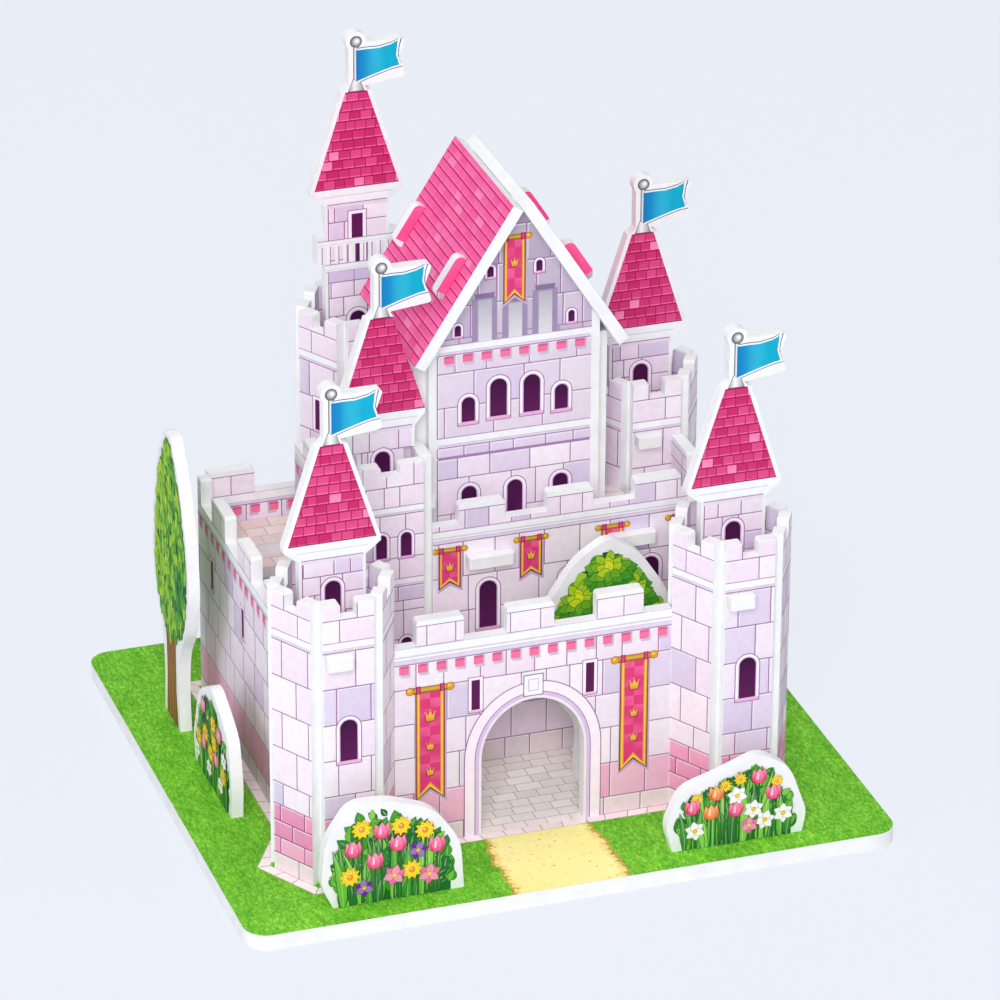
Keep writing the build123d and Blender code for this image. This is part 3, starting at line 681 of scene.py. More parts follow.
def make_grass():
    """Printed lawn: short blades of several greens."""
    graph = Graph("printed_grass", 0.62, 0.08)
    place = graph.add("TexCoord").outputs["Object"]
    mapping = graph.add("Mapping", Vector=place, Scale=(1.0, 0.42, 1.0), Rotation=(0, 0, 0.35))
    stretch = mapping.outputs["Vector"]
    blades = graph.noise(stretch, 1500.0, 6.0, 0.72)
    greens = (0.33, rgb(84, 164, 40)), (0.5, rgb(122, 206, 62)), (0.68, rgb(188, 240, 104))
    clumped = (0.36, rgb(216, 228, 206)), (0.66, rgb(255, 255, 238))
    patched = (0.35, rgb(236, 244, 226)), (0.65, rgb(255, 255, 250))
    tone = graph.ramp(blades, *greens)
    tone = graph.multiply(tone, graph.ramp(graph.noise(stretch, 210.0, 4.0, 0.6), *clumped))
    tone = graph.multiply(tone, graph.ramp(graph.noise(place, 32.0, 2.0), *patched))
    graph.feed(graph.shader, Base_Color=tone)
    graph.bump(blades, 0.1, 0.0001)
    return graph.material


paper = make_paper()
foam = make_foam()
grass = make_grass()
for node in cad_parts.values():
    node.data.materials.clear()
    node.data.materials.append(foam)


# Walls and towers


def tower_faces(sheet, tower, floor, angles, seed, inner_seed, windows=None):
    """Faces of a tower from outside and inside, with the windows of some angles."""
    sides = []
    for offset, angle in enumerate(angles):
        sides.append(tower_side(sheet, tower, angle))
        tower_art(sides[-1], floor, seed + offset, (windows or {}).get(angle))
        inner = tower_side(sheet, tower, angle, back=True)
        tower_art(inner, floor, inner_seed + offset, inside=True)
    return sides


def front_art():
    """The gate wall and the outer faces of both front towers."""
    sheet = Print("front_board", "masonry_print")
    windows = {0: (7.5, 45.8, 59.1, 2.59)}
    tower_faces(sheet, T_LEFT, FLOOR_FRONT, FRONT_ANGLES, 1, 21, windows)
    tower_faces(sheet, T_FRONT_RIGHT, FLOOR_FRONT, FRONT_ANGLES, 4, 24, windows)
    start = (T_LEFT[0] + VERTEX, T_LEFT[1] - BOARD / 2)
    length = T_FRONT_RIGHT[0] - VERTEX - start[0]
    gate = wall_panel(sheet, start, 0, length)
    rng = random.Random(11)
    low_courses(gate, rng, length)
    wall_rows(gate, rng, 0, length, GATE_ROWS)
    middle = -2.4 - start[0]
    rings = (
        (21.3, 53.8, 23.6, PLUM), (21.0, 53.5, 23.4, rgb(253, 238, 252)), (18.0, 50.3, 20.3, PLUM),
        (17.75, 50.05, 20.05, rgb(218, 196, 232)), (16.7, 48.9, 19.0, rgb(244, 230, 246)),
    )
    for layer, (half, top, rise, colour) in enumerate(rings, 4):
        gate.draw(arch(middle, half, GROUND, top, rise, 28), colour, layer)
    keystone = (
        (3.1, 48.9, 56.0, DEEP), (2.85, 49.15, 55.75, WHITE),
        (1.7, 50.5, 54.5, rgb(214, 196, 220)), (1.35, 50.85, 54.15, rgb(252, 240, 252)),
    )
    for layer, (half, low, top, colour) in enumerate(keystone, 9):
        gate.box(middle - half, middle + half, low, top, colour, layer)
    string_course(gate, GATE_MOULD, LOW_TOP)
    dentils(gate, 0, length, 65.2)
    for place in (-20.15, 15.1):
        slit(gate, place - start[0], 47.2, 57.0, 1.3)
    banner(gate, -38.2 - start[0], -29.9 - start[0], 56.4, 20.2, (47.5, 37.5, 29.0))
    banner(gate, 24.85 - start[0], 32.95 - start[0], 56.4, 19.3, (47.5, 38.0, 29.8))
    top_stones(gate, rng, length, LOW_TOP, LOW_MERLON)
    behind = wall_panel(sheet, start, 0, length, back=True)
    wall_rows(behind, random.Random(12), 0, length, [GROUND, PALE_TOP] + GATE_ROWS)
    string_course(behind, GATE_MOULD, LOW_TOP)
    dentils(behind, 0, length, 65.2)
    top_stones(behind, rng, length, LOW_TOP, LOW_MERLON)
    sheet.finish()


def top_stones(panel, rng, length, low, high):
    """Stones of a row of merlons, with their caps."""
    course(panel, 0, length, low, high, rng, [STONES[0], STONES[3], STONES[3]], 8.4)
    cap_line(panel, length, high)


def tower_backs():
    """The sheets that close the front towers, the right tower, and the front of the tall one."""
    for name, tower, seed in (
        ("tower_front_left_back", T_LEFT, 31), ("tower_front_right_back", T_FRONT_RIGHT, 41),
    ):
        sheet = Print(name, "masonry_print")
        tower_faces(sheet, tower, FLOOR_FRONT, BACK_ANGLES, seed, seed + 3)
        sheet.finish()
    sheet = Print("tower_right", "masonry_print")
    window = (7.7, 44.0, 56.5, 2.45)
    tower_faces(sheet, T_RIGHT, FLOOR_RIGHT, FRONT_ANGLES + BACK_ANGLES, 50, 60, {60: window, 120: window})
    sheet.finish()
    sheet = Print("tower_back_left_front", "masonry_print")
    sides = tower_faces(sheet, T_BACK, FLOOR_BACK, FRONT_ANGLES, 70, 80)
    slit(sides[0], 7.6, 92.0, 102.0, 1.2)
    sheet.finish()


def plain_wall(panel, rng, length, slits=()):
    """A low outer wall with its moulding and dentils."""
    mould = LOW_TOP - 3.8
    low_courses(panel, rng, length)
    wall_rows(panel, rng, 0, length, even_rows(PINK_TOP, mould, 4))
    string_course(panel, mould, LOW_TOP)
    dentils(panel, 0, length, LOW_TOP - 4.0, pitch=6.2)
    top_stones(panel, rng, length, LOW_TOP, LOW_MERLON)
    for place in slits:
        slit(panel, place, 47.8, 57.4, 1.2)


def rear_art():
    """The left and back walls, and the back faces of the tall tower."""
    sheet = Print("rear_board", "masonry_print")
    for start, angle, length, seed, slits in (
        ((LEFT_WALL, BACK_INSIDE), 270, 91.95, 90, (BACK_INSIDE - 41.6, BACK_INSIDE - 8.7)),
        ((T_BACK[0] - VERTEX, BACK_WALL), 180, 29.08, 92, ()),
    ):
        plain_wall(wall_panel(sheet, start, angle, length), random.Random(seed), length, slits)
        inner = wall_panel(sheet, start, angle, length, back=True)
        plain_wall(inner, random.Random(seed + 1), length)
    for start, angle, length, seed, windows in (
        ((RIGHT_WALL - BOARD, BACK_WALL), 180, 66.9, 94, (16, 50)), ((RIGHT_WALL, 46.45), 90, 10.2, 96, ()),
    ):
        high_wall(wall_panel(sheet, start, angle, length), random.Random(seed), length, windows)
        court_side(wall_panel(sheet, start, angle, length, back=True), random.Random(seed + 1), length)
    tower_faces(sheet, T_BACK, FLOOR_BACK, BACK_ANGLES, 100, 110, {180: (7.7, 84.0, 96.5, 2.45)})
    sheet.finish()


def high_wall(panel, rng, length, windows=()):
    """Outer wall beside the upper court."""
    low_courses(panel, rng, length)
    wall_rows(panel, rng, 0, length, even_rows(PINK_TOP, HIGH_MOULD, 5))
    string_course(panel, HIGH_MOULD, HIGH_TOP)
    dentils(panel, 0, length, 80.3, pitch=6.0)
    top_stones(panel, rng, length, HIGH_TOP, HIGH_MERLON)
    for place in windows:
        arched_window(panel, place, 48.0, 61.0, 2.6)


def court_side(panel, rng, length):
    """The side of an outer wall that looks into the upper court."""
    wall_rows(panel, rng, 0, length, [GROUND, 14, 25, 36, 47, 58, 68, 76, COURT_MOULD])
    string_course(panel, COURT_MOULD, HIGH_TOP)
    top_stones(panel, rng, length, HIGH_TOP, HIGH_MERLON)


def court_walls():
    """The right wall, the wall behind the gate court and the upper side wall."""
    sheet = Print("right_wall", "masonry_print")
    rng = random.Random(120)
    length = 47.9
    start = (RIGHT_WALL, -35.35)
    outer = wall_panel(sheet, start, 90, length)
    low_courses(outer, rng, length)
    wall_rows(outer, rng, 0, length, even_rows(PINK_TOP, GATE_MOULD, 4))
    dentils(outer, 0, length, 65.2)
    string_course(outer, GATE_MOULD, 69.6)
    wall_rows(outer, rng, 0, length, [69.6, 78.0, HIGH_TOP], mean=9)
    top_stones(outer, rng, length, HIGH_TOP, HIGH_MERLON)
    for place in (12.0, 35.0):
        slit(outer, place, 47.8, 57.4, 1.2)
    inner = wall_panel(sheet, start, 90, length, back=True)
    wall_rows(inner, rng, 0, length, [GROUND, 15, 25, 35, 45, 55, GATE_MOULD, 78.0, HIGH_TOP])
    top_stones(inner, rng, length, HIGH_TOP, HIGH_MERLON)
    sheet.finish()

    sheet = Print("inner_wall", "masonry_print")
    start = (-19.68, INNER_WALL)
    length = 83.7
    face = wall_panel(sheet, start, 0, length)
    rng = random.Random(130)
    course(face, 0, length, GROUND, PALE_TOP + 1.2, rng, [rgb(232, 218, 218), rgb(226, 211, 212)], 9.5)
    course(face, 0, length, PALE_TOP + 1.2, 23.4, rng, LILAC + [STONES[2]], 11)
    wall_rows(face, rng, 0, length, [23.4, 34.8, 46.0, 57.4, 69.0, HIGH_MOULD], mean=11)
    string_course(face, HIGH_MOULD, 84.6)
    for place in (-2.5, 23.0, 48.6):
        arched_window(face, place - start[0], 50.8, 66.2, 2.7)
    for left, right in ((-17.6, -11.4), (7.8, 14.0), (33.4, 39.6), (55.6, 61.8)):
        place, end = left - start[0], right - start[0]
        banner(face, place, end, 78.2, 65.8, (72.6,), border=0.7, reach=1.5, notch=2.2, rod_half=0.6)
    wall_rows(face, rng, 0, length, [84.6, 92.6], mean=8)
    cap_line(face, length, HIGH_MERLON)
    court_side(wall_panel(sheet, start, 0, length, back=True), random.Random(131), length)
    sheet.finish()

    sheet = Print("upper_side_wall", "masonry_print")
    start = (-42.08, 54.56)
    length = 65.9
    rng = random.Random(140)
    face = wall_panel(sheet, start, 270, length)
    high_wall(face, rng, length)
    for place in (22, 48):
        arched_window(face, place, 50.0, 63.0, 2.4)
    court_side(wall_panel(sheet, start, 270, length, back=True), random.Random(141), length)
    sheet.finish()


def turret_art():
    """The square turret at the left of the inner wall."""
    sheet = Print("tower_middle", "masonry_print")
    places = (((-42.08, -15.0), 0, 18.7), ((-19.78, -11.4), 90, 9.4), ((-23.38, 1.6), 180, 15.0))
    for offset, (start, angle, length) in enumerate(places):
        face = wall_panel(sheet, start, angle, length)
        rng = random.Random(150 + offset)
        low_courses(face, rng, length, mean=8)
        wall_rows(face, rng, 0, length, [PINK_TOP, 32.4, 42.4, 52.4, 62.0], mean=8)
        course(face, 0, length, 65.2, 70.0, rng, LILAC, 7)
        course(face, 0, length, 62.0, 65.2, rng, STONES, 6)
        string_course(face, 70.0, 72.6)
        wall_rows(face, rng, 0, length, [72.6, 79.6, 86.6, 93.8], mean=8)
        string_course(face, 93.8, 96.4)
        wall_rows(face, rng, 0, length, [96.4, 103.0, 110.2], mean=7)
        if angle == 0:
            for place, low, top, half in (
                (5.68, 80.0, 87.7, 1.65), (13.3, 80.0, 87.7, 1.65), (13.3, 44.0, 52.8, 1.6),
            ):
                arched_window(face, place, low, top, half, 0.8)
        if angle == 180:
            arched_window(face, 7.5, 80.0, 88.0, 1.8, 0.9)
        inner = wall_panel(sheet, start, angle, length, back=True)
        wall_rows(inner, rng, 0, length, [FLOOR_MIDDLE, 102.5, 110.2], mean=7)
    sheet.finish()


# Keep


def keep_windows(panel, shift):
    """Rows of windows on the front of the keep."""
    for place, low, top, half in (
        (-14.3, 114.3, 122.2, 2.05), (-4.95, 114.8, 126.9, 2.58),
        (5.4, 114.7, 126.8, 2.58), (14.65, 114.3, 122.3, 2.05),
        (-14.0, 81.0, 93.0, 2.35), (0.3, 81.0, 93.0, 2.35), (14.6, 81.0, 93.0, 2.35),
    ):
        arched_window(panel, place + shift, low, top, half, 1.1)


def gable_art(panel, rng, shift, half):
    """Stones, three tall panels and small windows in a gable, with painted shade under the eaves: the stones
    darken row by row towards the apex and the panels darken upwards.
    """
    left, right = shift - half, shift + half
    rows = [GABLE, 141.6, 151.9, 164.0, 176.0, 190.0]
    for foot, high in zip(rows, rows[1:]):
        # painted shade under the eaves: each row's tones are mixed further towards grey-lilac the higher the
        # row lies
        dark = min(0.9, 0.45 + (foot - 140) / 80)
        shade = [mix(tone, rgb(140, 126, 146), dark) for tone in LILAC + [STONES[2]]]
        course(panel, left, right, foot, high, rng, shade, 7.2)
    low = 139.4

    # painted shade on the tall panels: their fill darkens upwards under the eaves
    def pale(u, v):
        return mix(rgb(226, 223, 228), rgb(184, 180, 190), (v - low) / 14)

    for middle, top in ((-9.38, 153.5), (0.0, 151.3), (9.28, 153.85)):
        place = middle + shift
        panel.box(place - 3.9, place + 3.9, low, top + 0.1, rgb(160, 144, 176), 2.1)
        panel.box(place - 3.0, place + 3.0, top - 0.1, top + 1.5, rgb(138, 116, 156), 2.2)
        panel.box(place - 3.3, place + 3.3, top + 1.3, top + 1.6, PLUM, 2.3)
        panel.box(place - 2.25, place + 2.25, low, top, pale, 2.4)
        panel.box(place - 2.25, place - 1.9, low, top, rgb(170, 160, 182), 2.5)
        panel.box(place - 2.25, place + 2.25, top - 0.5, top, rgb(160, 150, 172), 2.6)
    for place, foot, top in (
        (-7.62, 160.1, 163.4), (7.45, 160.0, 163.5), (-17.6, 142.4, 145.8), (17.55, 142.3, 145.9),
    ):
        arched_window(panel, place + shift, foot, top, 0.95, 0.7)


def tab_tone(u, v):
    return mix(TAB_PINK, TILE_LIGHT, 0.1 + 0.1 * math.sin(v * 0.5))


def roof_tabs(panel, shift):
    """Pink faces of the gable tabs that stand through the roof."""
    for side in (-1, 1):
        quad = []
        for run, out in ((18.0, 0.0), (40.0, 0.0), (40.0, 6.0), (18.0, 6.0)):
            u = side * (run * math.cos(PITCH) + out * math.sin(PITCH))
            v = RIDGE - run * math.sin(PITCH) + out * math.cos(PITCH)
            quad.append((shift + u, v))
        panel.draw(quad, tab_tone, 20)


def keep_stones(panel, rng, left, right):
    """The rows of a side of the keep, with both mouldings; the upper rows are greyed as painted shade."""
    wall_rows(panel, rng, left, right, [76.0, 84.5, 96.2, 102.8], mean=11.0)
    course(panel, left, right, 103.4, 106.6, rng, LILAC, 8.6)
    panel.box(left, right, 102.7, 103.5, rgb(168, 128, 178), 4)
    string_course(panel, 106.6, 109.8, left, right)
    # painted shade: the stones above the lower moulding are mixed half-way to grey-lilac, as if in the roof's
    # shadow
    painted_shade_stones = [mix(tone, rgb(206, 194, 212), 0.5) for tone in STONES]
    wall_rows(panel, rng, left, right, [109.8, 119.6, 130.7, KEEP_MOULD], mean=12.0, colours=painted_shade_stones)
    string_course(panel, KEEP_MOULD, GABLE, left, right)


def keep_art():
    """The walls of the keep and its back gable."""
    sheet = Print("keep_walls", "masonry_print")
    left = KEEP_X - KEEP_HALF
    middle = KEEP_HALF
    half = 23.6
    start, end = middle - half, middle + half
    front = wall_panel(sheet, (left, KEEP_Y), 0, 2 * KEEP_HALF, low=COURT)
    rng = random.Random(160)
    keep_stones(front, rng, start, end)
    dentils(front, start + 0.4, end - 0.4, 136.5, pitch=6.04, width=3.1, tall=2.7)
    gable_art(front, rng, middle, half)
    keep_windows(front, middle)
    ends = (middle - 3.3, middle + 2.86)
    banner(front, *ends, 171.8, 151.2, (163.7,), border=0.8, reach=1.3, notch=2.8, rod_half=0.65)
    roof_tabs(front, middle)
    behind = Panel(sheet, (left, KEEP_Y, 0), (1, 0, 0), (0, 0, 1), True, (0, 2 * KEEP_HALF, 140, 190))
    roof_tabs(behind, middle)
    right = KEEP_X + KEEP_HALF + BOARD
    for place, angle, seed in (((left - BOARD, 40.9), 270, 170), ((right, KEEP_Y + BOARD), 90, 171)):
        length = 39.3
        side = wall_panel(sheet, place, angle, length, low=COURT)
        rng = random.Random(seed)
        keep_stones(side, rng, 0, length)
        dentils(side, 0.4, length - 0.4, 136.5, pitch=6.4, width=3.1, tall=2.7)
        for window in (8.5, 19.6, 30.8):
            arched_window(side, window, 113.0, 125.6, 2.5, 1.1)
        arched_window(side, 19.6, 81.0, 93.6, 2.5, 1.1)
    sheet.finish()
    sheet = Print("keep_back_gable", "masonry_print")
    origin, across, up = (KEEP_X, KEEP_BACK, 0), (1, 0, 0), (0, 0, 1)
    back = Panel(sheet, origin, across, up, True, (-KEEP_HALF, KEEP_HALF, COURT, 195))
    rng = random.Random(180)
    keep_stones(back, rng, -KEEP_HALF, KEEP_HALF)
    dentils(back, -KEEP_HALF + 0.4, KEEP_HALF - 0.4, 136.5, pitch=6.5, width=3.1, tall=2.7)
    gable_art(back, rng, 0.0, KEEP_HALF)
    for window, low, top, half in (
        (-14.3, 114.3, 122.3, 2.05), (14.3, 114.3, 122.3, 2.05),
        (-5.0, 114.8, 126.9, 2.58), (5.0, 114.8, 126.9, 2.58),
    ):
        arched_window(back, window, low, top, half, 1.1)
    roof_tabs(back, 0.0)
    front = Panel(sheet, origin, across, up, False, (-KEEP_HALF, KEEP_HALF, 140, 195))
    roof_tabs(front, 0.0)
    sheet.finish()


def tile_rows(
    panel, rng, left, right, low, high, rows, width, colours, line, light_share,
    within=None, joint=0.11, faint=0.0,
):
    """Rows of roof tiles, each row half a tile along."""
    edges = even_rows(low, high, rows)
    for index, foot, top in spans(edges):
        place = left - width * (0.5 if index % 2 else 0.0) - rng.uniform(0, 0.4)
        while place < right:
            end = place + width * rng.uniform(0.86, 1.14)
            colour = TILE_LIGHT if rng.random() < light_share else rng.choice(colours)
            shade = mix(colour, line, 0.3)

            def tone(u, v, foot=foot, top=top, colour=colour, shade=shade):
                return mix(colour, shade, max(0.0, (v - foot) / (top - foot) - 0.35))

            panel.box(place, end, foot, top, tone, 0, within)
            shine = mix(colour, TILE_LIGHT, 0.6)
            panel.box(place + 0.2, end - 0.2, foot + 0.25, foot + 0.55, shine, 1, within)
            panel.box(place - joint, place + joint, foot, top, mix(line, colour, faint), 2, within)
            place = end
        panel.box(left, right, foot - 0.2, foot + 0.2, line, 3, within)


def roof_art():
    """Both roof boards, tiled, with a dark line along the slots for the gable tabs."""
    depth, slope, rows = 54.4, 56.6, 21
    run, rise = math.cos(PITCH), math.sin(PITCH)
    for name, origin, across, up, seed, slots in (
        ("roof_left", (-24.18, 44.9, 138.0), (0, -1, 0), (run, 0, rise), 190, (7.65, 46.95)),
        ("roof_right", (42.02, -9.5, 138.0), (0, 1, 0), (-run, 0, rise), 191, (7.15, 46.45)),
    ):
        sheet = Print(name, "roof_print")
        face = Panel(sheet, origin, across, up)
        ends = (-0.5, depth + 0.5, 0, slope)
        tile_rows(face, random.Random(seed), *ends, rows, 5.0, ROOFS, ROOF_LINE, 0.06, joint=0.08, faint=0.55)
        for edge in slots:
            face.box(edge, edge + 0.3, 20.4, 34.8, ROOF_LINE, 4)
        sheet.finish()


# Spires


def spire_art(node, x, y, floor, wall_height, seed, stem=0.0, tall=False):
    """A flat spire, printed alike on both sides."""
    half = 8.7
    sheet = Print(node, "spire_print")
    for back in (False, True):
        face = Panel(sheet, (x, y, 0), (1, 0, 0), (0, 0, 1), back)
        rng = random.Random(seed + back)
        foot = floor + wall_height
        if stem:
            course(face, -stem + 0.6, stem - 0.6, floor, floor + 16, rng, STONES, 6)
        low = floor + (16 if stem else 0)
        rows = even_rows(low, foot - 4.6, max(1, int(round((foot - 4.6 - low) / 6.3))))
        for index, bottom, top in spans(rows):
            course(face, -half, half, bottom, top, rng, STONES, 7.0, LILAC, 1.5 + 3.4 * (index % 2))
        cornice(face, foot)
        if tall:
            tall_details(face, floor)
        else:
            arched_window(face, 0.0, floor + 4.6, floor + 15.6, 2.35, 1.1)
        spire_roof(face, rng, foot)
        flag(face, foot)
    sheet.finish()


def cornice(face, foot):
    """White moulding in two steps under the roof."""
    face.box(-9.4, 9.4, foot - 6.0, foot - 4.6, rgb(232, 222, 236), 4)
    face.draw([(-9.6, foot - 4.8), (9.6, foot - 4.8), (10.6, foot - 2.2), (-10.6, foot - 2.2)], WHITE, 5)
    face.box(-10.6, 10.6, foot - 2.45, foot - 2.1, rgb(214, 208, 222), 6)
    face.draw([(-12.9, foot - 2.2), (12.9, foot - 2.2), (13.4, foot), (-13.4, foot)], WHITE, 7)
    face.box(-9.2, 9.2, foot - 5.0, foot - 4.72, PLUM, 6)


def spire_roof(face, rng, foot):
    """The tiles of a spire, narrowing upwards."""
    top = foot + ROOF_TALL
    within = [(-13.2, foot), (13.2, foot), (3.4, top), (-3.4, top)]
    tile_rows(face, rng, -13.6, 13.6, foot, top, 10, 3.3, TILES, TILE_LINE, 0.07, within)
    face.box(-13.2, 13.2, foot, foot + 0.4, TILE_LINE, 4, within)
    face.box(-3.6, 3.6, top - 0.4, top, TILE_LINE, 4, within)


def metal(width):
    """A tone for a round silver rod of a given half width."""
    def tone(u, v):
        place = u / width
        if place < -0.2:
            return mix(SILVER_DARK, SILVER_LIGHT, 0.25 + 0.75 * (place + 1) / 0.8)
        return mix(SILVER_LIGHT, SILVER_DARK, 0.8 * (place + 0.2) / 1.2)

    return tone


def strips(left, right, low, high, count):
    """Upright strips, so that a tone across them comes out smoothly."""
    for _, start, end in spans(even_rows(left, right, count)):
        yield rect(start, end, low, high)


def flag(face, foot):
    """Silver cap, pole and ball, and a blue swallow-tail flag."""
    top = foot + ROOF_TALL
    ball = foot + BALL_HIGH
    cap = [(-2.4, top + 0.2), (2.4, top + 0.2), (0.9, top + 3.8), (-0.9, top + 3.8)]
    face.draw([(-2.6, top), (2.6, top), (1.05, top + 4.0), (-1.05, top + 4.0)], SILVER_DARK, 5)
    for strip in strips(-2.4, 2.4, top, top + 3.9, 10):
        face.draw(strip, metal(2.4), 6, cap)
    face.box(-0.85, 0.85, top + 3.4, ball, SILVER_DARK, 4)
    for strip in strips(-0.62, 0.62, top + 3.4, ball, 5):
        face.draw(strip, metal(0.7), 6)
    face.draw(circle(0, ball, 1.85, 20), SILVER_DARK, 7)
    for index in range(7):
        share = index / 6
        disc = circle(0.35 * share, ball + 0.3 * share, 1.62 - 1.2 * share, 16)
        face.draw(disc, mix(rgb(116, 116, 122), SILVER_LIGHT, share), 8 + index)
    crest = [(0.0, -2.0), (3.4, -1.9), (7.0, -2.0), (10.8, -1.3), (14.4, 0.1)]
    tail = [(13.5, -3.0), (13.2, -5.6), (13.9, -8.0), (14.9, -9.6)]
    hem = [(11.4, -10.0), (8.0, -10.9), (4.4, -12.0), (0.0, -13.4)]

    def outline(inset):
        """The flag's shape, drawn in from its edge."""
        points = [(x, y - inset) for x, y in crest[:-1]]
        points.append((crest[-1][0] - inset * 1.9, crest[-1][1] - inset * 1.5))
        points += [(x - inset, y) for x, y in tail[:-1]]
        points.append((tail[-1][0] - inset * 1.9, tail[-1][1] + inset * 0.9))
        points += [(x, y + inset) for x, y in hem]
        return [(x, ball + y) for x, y in points]

    whole = rect(0.5, 16, ball - 15, ball + 1)
    draw_within(face, outline(0.0), whole, FLAG_LINE, 5)
    draw_within(face, outline(0.26), whole, WHITE, 6)
    count = 16
    width = 15.0 / count

    def cloth(u, v):
        share = abs(u) / 15.0
        tone = mix(FLAG_DEEP, FLAG, min(1.0, share * 2.4))
        return mix(tone, FLAG_LIGHT, max(0.0, math.sin(share * 7.0 - 1.2)) * 0.3)

    for index in range(count):
        window = rect(width * index, width * (index + 1), ball - 14, ball)
        draw_within(face, outline(0.78), window, cloth, 7)


def draw_within(face, outline, window, colour, layer):
    """The part of any outline inside a convex window."""
    if area(outline) < 0:
        outline = outline[::-1]
    flat = [Vector((x, y, 0)) for x, y in outline]
    for triangle in tessellate_polygon([flat]):
        face.draw([outline[i] for i in triangle], colour, layer, window)


def tall_details(face, floor):
    """Balcony, door and windows of the tallest spire."""
    arched_window(face, 0.0, floor + 3.0, floor + 13.4, 2.4, 1.1)
    slit(face, 0.0, floor + 29.4, floor + 45.4, 1.75, 1.0)
    low, high = floor + 27.4, floor + 37.4
    half = 12.3
    face.box(-9.2, 9.2, low - 3.6, low, LILAC[1], 9)
    for joint in (-9.2, -1.2, 9.0):
        face.box(joint, joint + 0.22, low - 3.6, low, PLUM, 10)
    face.box(-9.2, 9.2, low - 3.9, low - 3.6, PLUM, 10)
    face.box(-half, half, low - 0.3, low, rgb(204, 196, 212), 10)
    for bottom, top in ((low, low + 2.1), (high - 1.8, high)):
        face.box(-half, half, bottom, top, WHITE, 13)
        face.box(-half, half, top, top + 0.24, rgb(150, 138, 158), 13)
        face.box(-half, half, bottom + 0.5, bottom + 0.66, rgb(222, 216, 226), 14)
    last = 9
    for index in range(last + 1):
        middle = -half + 0.6 + (2 * half - 1.2) * index / last
        face.box(middle + 0.5, middle + 0.85, low + 2.1, high - 1.8, rgb(160, 142, 170), 11)
        face.box(middle - 0.55, middle + 0.55, low + 2.1, high - 1.8, WHITE, 12)


# Ground and floors


def strip_stones(face, points, width, rng):
    """Row of flat stones along the foot of the outer walls."""
    count = len(points)
    outer = []
    for index in range(count):
        before, here, after = points[index - 1], points[index], points[(index + 1) % count]
        one = Vector((here[0] - before[0], here[1] - before[1])).normalized()
        two = Vector((after[0] - here[0], after[1] - here[1])).normalized()
        normal = Vector((one.y + two.y, -one.x - two.x))
        normal = normal / normal.length
        scale = width / max(0.5, normal.dot(Vector((one.y, -one.x))))
        outer.append((here[0] + normal.x * scale, here[1] + normal.y * scale))
    for index in range(count):
        a, b = points[index], points[(index + 1) % count]
        c, d = outer[(index + 1) % count], outer[index]
        length = math.dist(a, b)
        pieces = max(1, int(round(length / 6.4)))
        cuts = [0.0] + sorted((i + rng.uniform(-0.22, 0.22)) / pieces for i in range(1, pieces)) + [1.0]
        for low, high in zip(cuts, cuts[1:]):
            gap = 0.16 / max(length, 1)
            quad = [between(a, b, low), between(d, c, low), between(d, c, high), between(a, b, high)]
            face.draw(quad, BEIGE_LINE, 2)
            near, far = between(a, b, low + gap), between(a, b, high - gap)
            inner = [
                near, between(near, between(d, c, low + gap), 0.93),
                between(far, between(d, c, high - gap), 0.93), far,
            ]
            face.draw(inner, rng.choice([rgb(250, 238, 236), rgb(247, 230, 230), rgb(252, 243, 240)]), 3)


def between(a, b, share):
    return (a[0] + (b[0] - a[0]) * share, a[1] + (b[1] - a[1]) * share)


def paving(face, rng, left, right, low, high, row, mean, colours=PAVING, line=PAVING_LINE, layer=0):
    """Rows of paving stones, each row half a stone along."""
    thick = 0.22
    count = max(1, int(round((high - low) / row)))
    edges = even_rows(low, high, count)
    for index, foot, top in spans(edges):
        place = left - mean * (0.5 if index % 2 else 0.0) - rng.uniform(0, mean * 0.3)
        while place < right:
            end = place + mean * rng.uniform(0.8, 1.2)
            colour = rng.choice(colours)
            near, far = max(place, left), min(end, right)
            face.box(near, far, foot, top, colour, layer)
            face.box(near + 0.3, far - 0.3, top - 0.6, top - 0.3, mix(colour, WHITE, 0.45), layer + 1)
            if place > left:
                face.box(place - thick / 2, place + thick / 2, foot, top, line, layer + 2)
            place = end
        face.box(left, right, foot - thick / 2, foot + thick / 2, line, layer + 2)


def footprint():
    """Outline of the outer walls on the ground, counter-clockwise from above."""
    radius = APOTHEM / math.cos(math.radians(30))

    def corners(tower, *angles):
        turns = [math.radians(angle) for angle in angles]
        return [(tower[0] + radius * math.cos(turn), tower[1] + radius * math.sin(turn)) for turn in turns]

    wall_y = FRONT_Y - BOARD / 2
    return [
        (T_LEFT[0] + VERTEX, wall_y), (T_FRONT_RIGHT[0] - VERTEX, wall_y),
        *corners(T_FRONT_RIGHT, 240, 300, 0, 60),
        (RIGHT_WALL, -34.0), (RIGHT_WALL, 11.0),
        *corners(T_RIGHT, 300, 0, 60),
        (RIGHT_WALL, 48.0), (RIGHT_WALL, BACK_WALL), (T_BACK[0] + VERTEX, BACK_WALL),
        *corners(T_BACK, 60, 120),
        (T_BACK[0] - VERTEX, BACK_WALL), (LEFT_WALL, BACK_WALL), (LEFT_WALL, -33.8),
        *corners(T_LEFT, 120, 180, 240, 300),
    ]


def base_art():
    """The lawn, the courtyard, the path and the stones along the walls."""
    sheet = Print("base_board", "base_print", [paper, grass])
    face = Panel(sheet, (0, 0, GROUND), (1, 0, 0), (0, 1, 0))
    face.draw(rect(-101, 101, -91, 91), rgb(110, 177, 55), 0, kind=1)
    rng = random.Random(200)
    paving(face, rng, -68.6, 64.1, -50.4, BACK_INSIDE, 4.3, 7.0, layer=1)
    sill = [rgb(250, 238, 236), rgb(247, 231, 229)]
    paving(face, rng, -18.6, 13.8, -54.3, -50.4, 3.9, 6.8, sill, BEIGE_LINE, 1)
    path_art(face, rng)
    strip_stones(face, footprint(), 3.4, rng)
    sheet.finish()


